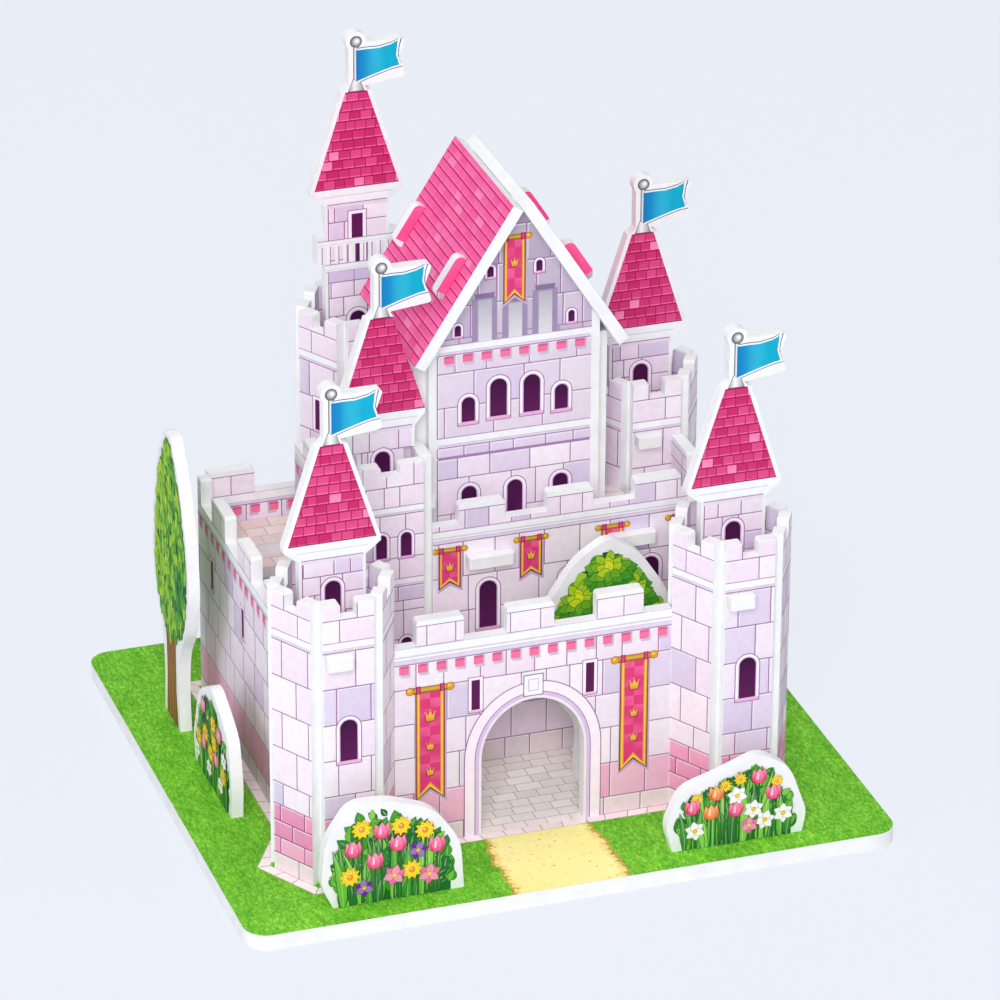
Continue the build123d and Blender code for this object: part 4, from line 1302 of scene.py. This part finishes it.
def path_art(face, rng):
    """Sandy path from the gate, with ragged edges."""
    ys = [-57.4 - 1.35 * index for index in range(26)]
    left, right = [], []
    for index, y in enumerate(ys):
        spread = min(1.0, index / 10)
        left.append((-17.8 - 1.6 * spread + rng.uniform(-0.9, 0.9), y))
        right.append((13.6 + 1.4 * spread + rng.uniform(-0.9, 0.9), y))

    def band(index, rim, colour, layer):
        """One step of the path, wider than its edges by a rim."""
        quad = [
            (left[index + 1][0] - rim, ys[index + 1]), (right[index + 1][0] + rim, ys[index + 1]),
            (right[index][0] + rim, ys[index]), (left[index][0] - rim, ys[index]),
        ]
        face.draw(quad, colour, layer)

    def sand(u, v):
        return mix(rgb(254, 242, 156), rgb(254, 247, 168), 0.5 + 0.5 * math.sin(u * 0.3 + v * 0.17))

    for index in range(len(ys) - 1):
        band(index, 0.9, rgb(222, 158, 76), 1)
        band(index, 0.0, rgb(253, 226, 140), 2)
        band(index, -(1.6 + rng.uniform(-0.5, 0.7)), sand, 3)
    grains = [rgb(226, 178, 92), rgb(240, 208, 120), rgb(206, 150, 70)]
    for _ in range(70):
        x, y = rng.uniform(-17, 13), rng.uniform(-90, -59)
        spot = rng.uniform(0.12, 0.42)
        face.draw(circle(x, y, spot, 7, 0.6), rng.choice(grains), 4)
    tuft_greens = [rgb(72, 146, 36), rgb(110, 184, 58), rgb(140, 202, 74)]
    for side, line in ((-1, left), (1, right)):
        for x, y in line:
            for _ in range(3):
                px, py = x + side * rng.uniform(-0.2, 1.4), y + rng.uniform(-0.7, 0.7)
                tip = (px - side * rng.uniform(0.6, 1.7), py + rng.uniform(-0.2, 0.9))
                face.draw([(px, py - 0.25), tip, (px, py + 0.25)], rng.choice(tuft_greens), 5)


def paved(name, height, region, seed, row, mean, colours=PAVING, line=PAVING_LINE):
    """A floor board with paving on its top."""
    sheet = Print(name, "paving_print")
    face = Panel(sheet, (0, 0, height), (1, 0, 0), (0, 1, 0), region=region)
    ends = (face.left, face.right, face.low, face.high)
    paving(face, random.Random(seed), *ends, row, mean, colours, line)
    sheet.finish()


def floor_art():
    """The paving of the upper court, the tower floors and the terraces."""
    sheet = Print("upper_floor", "paving_print")
    face = Panel(sheet, (0, 0, COURT), (1, 0, 0), (0, 1, 0))
    ends = (face.left, face.right, INNER_WALL + BOARD, BACK_INSIDE)
    paving(face, random.Random(210), *ends, 5.3, 8.6)
    sheet.finish()
    for seed, (name, (x, y), height) in enumerate((
        ("floor_front_left", T_LEFT, FLOOR_FRONT), ("floor_front_right", T_FRONT_RIGHT, FLOOR_FRONT),
        ("floor_right", T_RIGHT, FLOOR_RIGHT), ("floor_back_left", T_BACK, FLOOR_BACK),
    ), 211):
        paved(name, height, (x - 16, x + 16, y - 13.2, y + 13.2), seed, 4.4, 6.4)
    paved("floor_middle", FLOOR_MIDDLE, (-39, -23.4, -12, -1), 216, 3.6, 5.6)
    for seed, (name, height) in enumerate((
        ("rear_terrace", TERRACE), ("terrace_step_upper", STEP_UPPER), ("terrace_step_lower", STEP_LOWER),
    ), 220):
        paved(name, height, (-69, -42.2, -10, 60), seed, 5.0, 7.6, BEIGE, BEIGE_LINE)


# Plants


def leaf(x, y, length, half, turn, count=7):
    """A pointed leaf from its root."""
    shares = [index / count for index in range(count + 1)]
    points = [(share, half / length * math.sin(math.pi * share ** 0.8)) for share in shares]
    points += [(share, -half / length * math.sin(math.pi * share ** 0.8)) for share in shares[-2:0:-1]]
    cos_t, sin_t = math.cos(turn), math.sin(turn)
    return [(x + length * (a * cos_t - b * sin_t), y + length * (a * sin_t + b * cos_t)) for a, b in points]


class Room:
    """The place inside a board's outline, at least a margin from its edge."""

    def __init__(self, panel, margin):
        self.runs = panel.edges()
        self.parts = panel.parts
        self.margin = margin

    def inside(self, x, y, margin=None):
        margin = self.margin if margin is None else margin
        if not any(within(flat, x, y) for _, _, _, _, flat in self.parts):
            return False
        for (ax, ay), (bx, by) in self.runs:
            dx, dy = bx - ax, by - ay
            share = max(0.0, min(1.0, ((x - ax) * dx + (y - ay) * dy) / (dx * dx + dy * dy + 1e-12)))
            if math.hypot(x - ax - share * dx, y - ay - share * dy) < margin:
                return False
        return True

    def holds(self, points, margin=None):
        return all(self.inside(x, y, margin) for x, y in points)


def within(flat, x, y):
    for (ax, ay), (bx, by) in zip(flat, flat[1:] + flat[:1]):
        if (bx - ax) * (y - ay) - (by - ay) * (x - ax) < 0:
            return False
    return True


GREENS = [rgb(46, 134, 46), rgb(70, 158, 42), rgb(104, 186, 50), rgb(38, 112, 52), rgb(132, 204, 70)]
GREEN_LINE = rgb(22, 84, 40)


def outlined(face, points, colour, line, grow):
    """A shape with a thin darker line round it."""
    middle = (sum(p[0] for p in points) / len(points), sum(p[1] for p in points) / len(points))
    wide = []
    for x, y in points:
        length = math.hypot(x - middle[0], y - middle[1]) or 1.0
        wide.append((x + (x - middle[0]) / length * grow, y + (y - middle[1]) / length * grow))
    face.draw(wide, line)
    face.draw(points, colour)


def tulip(face, x, y, size, colour, light, _turn):
    """A plain cup-shaped flower of three petals."""
    line = mix(colour, rgb(110, 10, 50), 0.6)
    side = [(-0.05, 0.0), (-0.46, 0.12), (-0.6, 0.62), (-0.46, 1.2), (-0.12, 0.8)]
    for sign in (-1, 1):
        petal = [(x + sign * px * size, y + py * size) for px, py in side]
        outlined(face, petal, lambda u, v: mix(colour, light, max(0.0, (v - y) / size - 0.35)), line, 0.16)
    middle = [
        (-0.24, 0.02), (0.24, 0.02), (0.4, 0.5), (0.22, 0.98), (0.0, 1.26), (-0.22, 0.98), (-0.4, 0.5),
    ]
    petal = [(x + px * size, y + py * size) for px, py in middle]
    outlined(face, petal, lambda u, v: mix(colour, light, 0.15 + 0.55 * (v - y) / size), line, 0.14)
    shine = [(-0.2, 0.35), (-0.06, 0.3), (-0.02, 0.8), (-0.12, 0.9)]
    face.draw([(x + px * size, y + py * size) for px, py in shine], mix(light, WHITE, 0.5))


def daisy(face, x, y, size, colour, centre, turn):
    """A round flower with two rings of rounded petals."""
    line = mix(colour, rgb(176, 84, 10), 0.6)
    petals = 10
    face.draw(circle(x, y, size * 0.7, 14), line)
    for ring, reach in ((0, 0.86), (1, 0.6)):
        for index in range(petals):
            angle = turn + 2 * math.pi * (index + 0.5 * ring) / petals
            root = (x + size * 0.12 * math.cos(angle), y + size * 0.12 * math.sin(angle))
            points = leaf(root[0], root[1], size * reach, size * 0.21, angle, 5)
            tone = mix(colour, rgb(255, 232, 90), 0.5 * ring)
            outlined(face, points, tone, line, 0.08)
    face.draw(circle(x, y, size * 0.3, 12), mix(centre, line, 0.5))
    face.draw(circle(x, y, size * 0.25, 12), centre)
    face.draw(circle(x - size * 0.08, y + size * 0.09, size * 0.12, 8), mix(centre, WHITE, 0.45))


def star(face, x, y, size, colour, light, turn):
    """A flower of six broad petals, seen from above."""
    line = mix(colour, rgb(70, 20, 90), 0.5)
    for ring in (0, 1):
        for index in range(3):
            angle = turn + 2 * math.pi * (index + 0.5 * ring) / 3
            points = leaf(x, y, size, size * 0.36, angle, 6)
            tone = mix(colour, WHITE, 0.2 * ring)
            outlined(face, points, tone, line, 0.13)
    face.draw(circle(x, y, size * 0.24, 10), mix(light, rgb(190, 90, 20), 0.5))
    face.draw(circle(x, y, size * 0.16, 10), light)


BLOOMS = {"tulip": tulip, "daisy": daisy, "star": star}


def blade(face, room, x, height, half, lean, colour):
    """A long curved leaf from the ground."""
    left, right = [], []
    count = 6
    for index in range(count + 1):
        share = index / count
        middle = x + lean * share * share
        wide = half * math.sin(math.pi * (0.12 + 0.88 * share) ** 0.8) if share < 1 else 0.0
        y = GROUND + 0.2 + height * share
        left.append((middle - wide, y))
        right.append((middle + wide, y))
    if not all(room.inside(px, max(py, GROUND + 2.5)) for px, py in left + right):
        return
    for index in range(count):
        quad = [left[index], right[index], right[index + 1], left[index + 1]]
        wide = [
            (left[index][0] - 0.16, left[index][1]), (right[index][0] + 0.16, right[index][1]),
            (right[index + 1][0] + 0.16, right[index + 1][1] + 0.1),
            (left[index + 1][0] - 0.16, left[index + 1][1] + 0.1),
        ]
        face.draw(wide, GREEN_LINE)
        face.draw(quad, lambda u, v: mix(colour, GREENS[4], 0.35 * (v - GROUND) / height))
        low, high = x + lean * (index / count) ** 2, x + lean * ((index + 1) / count) ** 2
        foot, top = left[index][1], left[index + 1][1]
        rib = [(low - 0.09, foot), (low + 0.12, foot), (high + 0.08, top), (high - 0.06, top)]
        face.draw(rib, mix(colour, WHITE, 0.35))


def cells(left, right, low, high, step):
    """Squares over an area, row by row from its foot."""
    y = low
    while y < high:
        x = left
        while x < right:
            yield x, y, rect(x, x + step, y, y + step)
            x += step
        y += step


def flower_board(name, point, angle, seed, blooms):
    """A bed of generic flowers over blades and round leaves, on both sides of its board."""
    sheet = Print(name, "plant_print")
    for back in (False, True):
        region = (-100, 100, GROUND, 60)
        face = Panel(sheet, (*point, 0), direction(angle), (0, 0, 1), back, region)
        room = Room(face, 2.0)
        rng = random.Random(seed)
        left, right, high = face.left, face.right, face.high
        under = Room(face, 3.6)
        for x, y, cell in cells(left, right, GROUND, high, 1.0):
            ragged = 0.3 + 0.12 * math.sin(x * 0.9) + 0.08 * math.sin(x * 2.3 + 1.0)
            if y >= GROUND + (high - GROUND) * ragged:
                continue
            if all(under.inside(px, max(py, GROUND + 5.5)) for px, py in cell):
                face.draw(cell, rgb(30, 112, 46))
        middle = (left + right) / 2
        for _ in range(620):
            x, y = rng.uniform(left, right), GROUND + 1 + (high - GROUND - 5) * rng.uniform(0, 1) ** 1.9
            size = rng.uniform(2.8, 5.8)
            turn = math.pi / 2 - 1.6 * (x - middle) / (right - left) + rng.uniform(-0.7, 0.7)
            points = leaf(x, y, size, size * rng.uniform(0.26, 0.34), turn)
            if not room.holds(points):
                continue
            outlined(face, points, rng.choice(GREENS), GREEN_LINE, 0.13)
            face.draw(leaf(x, y, size * 0.8, 0.12, turn, 3), mix(rng.choice(GREENS), WHITE, 0.25))
        for _ in range(70):
            x = rng.uniform(left + 2, right - 2)
            height = rng.uniform(7, 24)
            lean = (x - middle) * 0.16 + rng.uniform(-3, 3)
            blade(face, room, x, height, rng.uniform(0.9, 1.7), lean, rng.choice(GREENS))
        spots = []
        for kind, share, colour, light, size in blooms:
            count = tries = 0
            lowest, highest = (GROUND + 5, GROUND + 17) if kind == "star" else (GROUND + 9, high - 4)
            while count < share and tries < 600:
                tries += 1
                x, y = rng.uniform(left + 4, right - 4), rng.uniform(lowest, highest)
                raised, wide = (size * 0.55, 0.7) if kind == "tulip" else (0, 1.0)
                if not room.holds(circle(x, y + raised, size * wide, 8), 2.4):
                    continue
                if any(math.dist((x, y), spot[:2]) < (size + spot[2]) * 0.8 for spot in spots):
                    continue
                spots.append((x, y, size, kind, colour, light, rng.uniform(0, 1)))
                count += 1
        for x, y, *_ in spots:
            stem = [(x - 0.36, GROUND + 0.4), (x + 0.24, GROUND + 0.4), (x + 0.28, y), (x - 0.28, y)]
            face.draw(stem, mix(GREEN_LINE, GREENS[0], 0.5))
        for x, y, size, kind, colour, light, turn in sorted(spots, key=lambda spot: -spot[1]):
            BLOOMS[kind](face, x, y, size, colour, light, turn)
    sheet.finish()


def clumps(u, v):
    """A soft, irregular pattern of light and shade."""
    across = math.sin(u * 0.62 + 1.7 * math.sin(v * 0.23))
    along = math.sin(v * 0.38 + 1.1 * math.sin(u * 0.4 + 0.6))
    return 0.5 + 0.5 * (across * along)


def foliage(face, room, rng, count, size, area_test, sun=0.5, hang=0.0, wide=0.33):
    """Many small pointed leaves, darker first and lighter last."""
    left, right, low, high = face.left, face.right, face.low, face.high
    placed = tries = 0
    while placed < count and tries < count * 30:
        tries += 1
        x, y = rng.uniform(left, right), rng.uniform(low, high)
        if not area_test(x, y):
            continue
        turn = -math.pi / 2 + rng.uniform(-0.5, 0.5) if rng.random() < hang else rng.uniform(0, 2 * math.pi)
        points = leaf(x, y, size * rng.uniform(0.8, 1.3), size * wide * rng.uniform(0.8, 1.2), turn, 5)
        if not room.holds(points):
            continue
        share = placed / count
        place = sun * ((right - x) / (right - left) - 0.5) + 0.4 * ((y - low) / (high - low) - 0.6)
        bright = min(1.0, max(0.0, 0.1 + share * 0.3 + 0.75 * clumps(x, y) * (0.4 + share) + place))
        colour = mix(rgb(22, 104, 52), rgb(84, 172, 52), min(1.0, bright * 1.5))
        if bright > 0.6:
            colour = mix(colour, rgb(178, 218, 52), min(1.0, (bright - 0.6) * 2.6) * rng.uniform(0.5, 1.0))
        outlined(face, points, colour, mix(GREEN_LINE, colour, 0.45), 0.1)
        placed += 1


def tree_art(x):
    """The tree at the left: a trunk under hanging leaves."""
    sheet = Print("tree", "plant_print")
    for back in (False, True):
        face = Panel(sheet, (x, 0, 0), direction(270), (0, 0, 1), back, (-100, 100, GROUND, 120))
        room = Room(face, 1.3)
        rng = random.Random(300)
        foot = 42.0
        trunk = [
            (foot - 6.4, GROUND), (foot + 6.2, GROUND), (foot + 5.0, 20), (foot + 5.4, 33), (foot + 9.5, 48),
            (foot - 9.0, 46), (foot - 4.8, 32), (foot - 4.4, 20),
        ]
        if face.left < -20:
            trunk = [(-u, v) for u, v in trunk]
            foot = -foot
        face.draw(trunk, rgb(156, 104, 56))
        side = 1 if foot > 0 else -1
        for base, reach, height in ((-2.0, -8.5, 52), (2.4, 9.0, 54), (0.4, 1.5, 58)):
            branch = [
                (foot + side * (base - 1.5), 24), (foot + side * (base + 1.5), 24),
                (foot + side * (reach + 0.6), height), (foot + side * (reach - 0.6), height),
            ]
            face.draw(branch, rgb(140, 92, 48))
        for index in range(9):
            place = foot - 4.2 + index * 1.05
            tip = (place + 0.45 + (place - foot) * 0.12, 40)
            bark = [(place, GROUND), (place + 0.5, GROUND), tip, (place + 0.1, 24)]
            face.draw(bark, rng.choice([rgb(118, 76, 40), rgb(176, 126, 76), rgb(104, 64, 34)]))

        def crown_place(u, v):
            return v > 34 + abs(u - foot) * 0.5

        fill_area(face, room, 36, crown_place)
        foliage(face, room, rng, 1150, 3.8, crown_place, sun=0.7, hang=0.85, wide=0.25)
    sheet.finish()


def fill_area(face, room, step_count, area_test):
    """Dark ground under the leaves, kept inside the margin."""
    step = (face.right - face.left) / step_count
    for _, _, cell in cells(face.left, face.right, face.low, face.high, step):
        if all(area_test(px, py) for px, py in cell) and room.holds(cell, room.margin + 0.8):
            face.draw(cell, rgb(30, 96, 44))


def leaf_cluster(face, room, rng, x, y, radius):
    """A bunch of broad leaves in rings, bright in the middle and above, dark below."""
    line = rgb(36, 108, 36)
    if room.holds(circle(x, y, radius * 0.6, 10)):
        face.draw(circle(x, y, radius * 0.6, 14), rgb(70, 152, 46))
    for ring, (start, count) in enumerate(((0.56, 13), (0.36, 10), (0.16, 7), (0.0, 5))):
        for index in range(count):
            angle = 2 * math.pi * (index + 0.5 * (ring % 2)) / count + rng.uniform(-0.1, 0.1)
            root = (x + radius * start * math.cos(angle), y + radius * start * math.sin(angle))
            long = radius * 0.46 * rng.uniform(0.92, 1.12)
            points = leaf(root[0], root[1], long, radius * 0.17, angle, 7)
            if not room.holds(points):
                continue
            bright = 0.2 + 0.6 * ring / 3 + 0.4 * math.sin(angle) - 0.15 * math.cos(angle)
            colour = mix(rgb(58, 156, 46), rgb(152, 208, 38), min(1.0, max(0.0, bright)))
            if bright > 0.7:
                colour = mix(colour, rgb(216, 230, 40), min(1.0, (bright - 0.7) * 2.4))
            outlined(face, points, colour, line, 0.17)
            face.draw(leaf(root[0], root[1], long * 0.75, 0.09, angle, 3), mix(colour, line, 0.4))


def bush_art(y):
    """The tall bush in the court: a trunk under leaves, with bunches of broad ones."""
    sheet = Print("bush", "plant_print")
    for back in (False, True):
        face = Panel(sheet, (0, y, 0), direction(0), (0, 0, 1), back, (-100, 100, GROUND, 120))
        room = Room(face, 2.2)
        rng = random.Random(310)
        trunk = [(25.0, GROUND), (34.0, GROUND), (32.4, 18), (35.5, 36), (23.5, 36), (26.8, 18)]
        face.draw(trunk, rgb(138, 96, 58))
        for index in range(5):
            place = 26.4 + index * 1.4
            bark = [(place, GROUND), (place + 0.5, GROUND), (place + 0.3, 34), (place + 0.1, 20)]
            face.draw(bark, rgb(112, 74, 42))

        def crown_place(u, v):
            return v > 26 + abs(u - 29.5) * 0.35

        fill_area(face, room, 44, crown_place)
        foliage(face, room, rng, 420, 4.8, crown_place, sun=0.2, wide=0.3)
        for cx, cy, radius in (
            (29.0, 36.0, 8.0), (17.0, 44.0, 8.5), (41.5, 43.5, 8.5), (29.5, 51.0, 9.0), (13.5, 56.0, 7.0),
            (45.0, 56.5, 7.0), (20.5, 64.0, 8.5), (37.5, 64.5, 8.5), (29.5, 73.0, 8.5),
        ):
            leaf_cluster(face, room, rng, cx, cy, radius)
    sheet.finish()


def plants():
    pink, rose, yellow = rgb(232, 34, 104), rgb(244, 112, 160), rgb(254, 214, 22)
    violet, white, orange = rgb(112, 40, 150), rgb(250, 249, 242), rgb(240, 96, 30)
    light = rgb(255, 172, 202)
    front, side = -81.5, -85.5
    flower_board("flowers_front_left", (0, front), 0, 401, (
        ("tulip", 5, pink, light, 4.2), ("daisy", 5, yellow, rgb(240, 150, 20), 3.3),
        ("star", 3, rose, rgb(252, 216, 70), 3.4), ("star", 3, violet, rgb(240, 190, 60), 3.0),
        ("tulip", 2, rose, light, 3.6),
    ))
    flower_board("flowers_front_right", (0, front), 0, 402, (
        ("tulip", 4, pink, light, 3.9), ("tulip", 2, orange, rgb(255, 206, 130), 3.9),
        ("star", 6, white, rgb(250, 206, 40), 3.2), ("daisy", 5, yellow, rgb(232, 150, 20), 2.1),
        ("star", 3, rose, rgb(250, 220, 90), 2.8),
    ))
    flower_board("flowers_left", (side, 0), 270, 403, (
        ("daisy", 6, yellow, rgb(236, 140, 20), 3.2), ("tulip", 4, rose, light, 3.8),
        ("star", 4, white, rgb(250, 206, 40), 2.9),
    ))
    tree_art(side)
    bush_art(-30.2)


# Light


def make_camera():
    data = bpy.data.cameras.new("camera")
    data.lens = LENS
    data.sensor_width = 36.0
    data.clip_start = 0.05
    data.clip_end = 20.0
    camera = bpy.data.objects.new("camera", data)
    bpy.context.scene.collection.objects.link(camera)
    sin_a, cos_a = math.sin(AZIMUTH), math.cos(AZIMUTH)
    sin_e, cos_e = math.sin(ELEVATION), math.cos(ELEVATION)
    forward = Vector((-sin_a * cos_e, cos_a * cos_e, -sin_e))
    right = Vector((cos_a, sin_a, 0.0))
    up = right.cross(forward)
    cos_r, sin_r = math.cos(ROLL), math.sin(ROLL)
    right, up = right * cos_r + up * sin_r, up * cos_r - right * sin_r
    matrix = camera.matrix_world.copy()
    for column, direct in enumerate((right, up, -forward, CAMERA_PLACE)):
        for row in range(3):
            matrix[row][column] = direct[row]
    camera.matrix_world = matrix
    bpy.context.scene.camera = camera


def add_lamp(name, place, size, power):
    data = bpy.data.lights.new(name, "AREA")
    data.size = size
    data.energy = power
    lamp = bpy.data.objects.new(name, data)
    lamp.location = place
    aim = Vector((0, 0, 0.08)) - Vector(place)
    lamp.rotation_euler = aim.to_track_quat("-Z", "Y").to_euler()
    bpy.context.scene.collection.objects.link(lamp)


def make_stage():
    mesh = bpy.data.meshes.new("floor")
    reach = 6.0
    corners = [(x, y, 0) for x, y in rect(-reach, reach, -reach, reach)]
    mesh.from_pydata(corners, [], [(0, 1, 2, 3)])
    floor = bpy.data.objects.new("floor", mesh)
    bpy.context.scene.collection.objects.link(floor)
    graph = Graph("floor_paint", 0.9, 0.1)
    graph.feed(graph.shader, Base_Color=(*mix(BACKGROUND, (0, 0, 0), 0.16), 1))
    glow = graph.add("Emission", Color=(*BACKGROUND, 1))
    share = graph.add("Math")
    share.operation = "MULTIPLY"
    share.inputs[1].default_value = 0.87
    graph.links.new(graph.add("LightPath").outputs["Is Camera Ray"], share.inputs[0])
    blend = graph.add("MixShader")
    for socket, source in zip(blend.inputs, (share, graph.shader, glow)):
        graph.links.new(source.outputs[0], socket)
    graph.links.new(blend.outputs[0], graph.nodes["Material Output"].inputs[0])
    mesh.materials.append(graph.material)
    world = bpy.data.worlds.new("studio")
    bpy.context.scene.world = world
    world.use_nodes = True
    nodes, links = world.node_tree.nodes, world.node_tree.links
    nodes.clear()
    path, blend, out = [nodes.new("ShaderNode" + kind) for kind in ("LightPath", "MixShader", "OutputWorld")]
    links.new(path.outputs["Is Camera Ray"], blend.inputs[0])
    for place, colour, strength in ((1, (0.975, 0.98, 1.0), 0.36), (2, BACKGROUND, 1.0)):
        light = nodes.new("ShaderNodeBackground")
        light.inputs["Color"].default_value = (*colour, 1)
        light.inputs["Strength"].default_value = strength
        links.new(light.outputs[0], blend.inputs[place])
    links.new(blend.outputs[0], out.inputs[0])
    for lamp in (
        ("key", (-0.55, -1.42, 1.06), 0.7, 19.4), ("overhead", (0.05, -0.25, 1.9), 1.1, 6.0),
        ("side", (-1.35, -0.3, 0.7), 1.1, 5.4), ("fill", (1.2, -0.5, 0.8), 1.0, 2.4),
        ("rim", (0.25, 1.2, 1.1), 0.9, 2.4),
    ):
        add_lamp(*lamp)
    bpy.context.scene.view_settings.view_transform = "Standard"


front_art()
tower_backs()
rear_art()
court_walls()
turret_art()
keep_art()
roof_art()
spire_art("spire_front_left", T_LEFT[0], FRONT_Y - BOARD / 2, FLOOR_FRONT, 28.0, 240)
spire_art("spire_front_right", T_FRONT_RIGHT[0], FRONT_Y - BOARD / 2, FLOOR_FRONT, 28.0, 242)
spire_art("spire_right", T_RIGHT[0], T_RIGHT[1] - BOARD / 2, FLOOR_RIGHT, 28.0, 244)
spire_art("spire_middle", -33.2, -5.9, FLOOR_MIDDLE, 28.0, 246, stem=6.6)
spire_art("spire_back_left", T_BACK[0], T_BACK[1] - BOARD / 2, FLOOR_BACK, 54.0, 248, tall=True)
base_art()
floor_art()
plants()
make_camera()
make_stage()
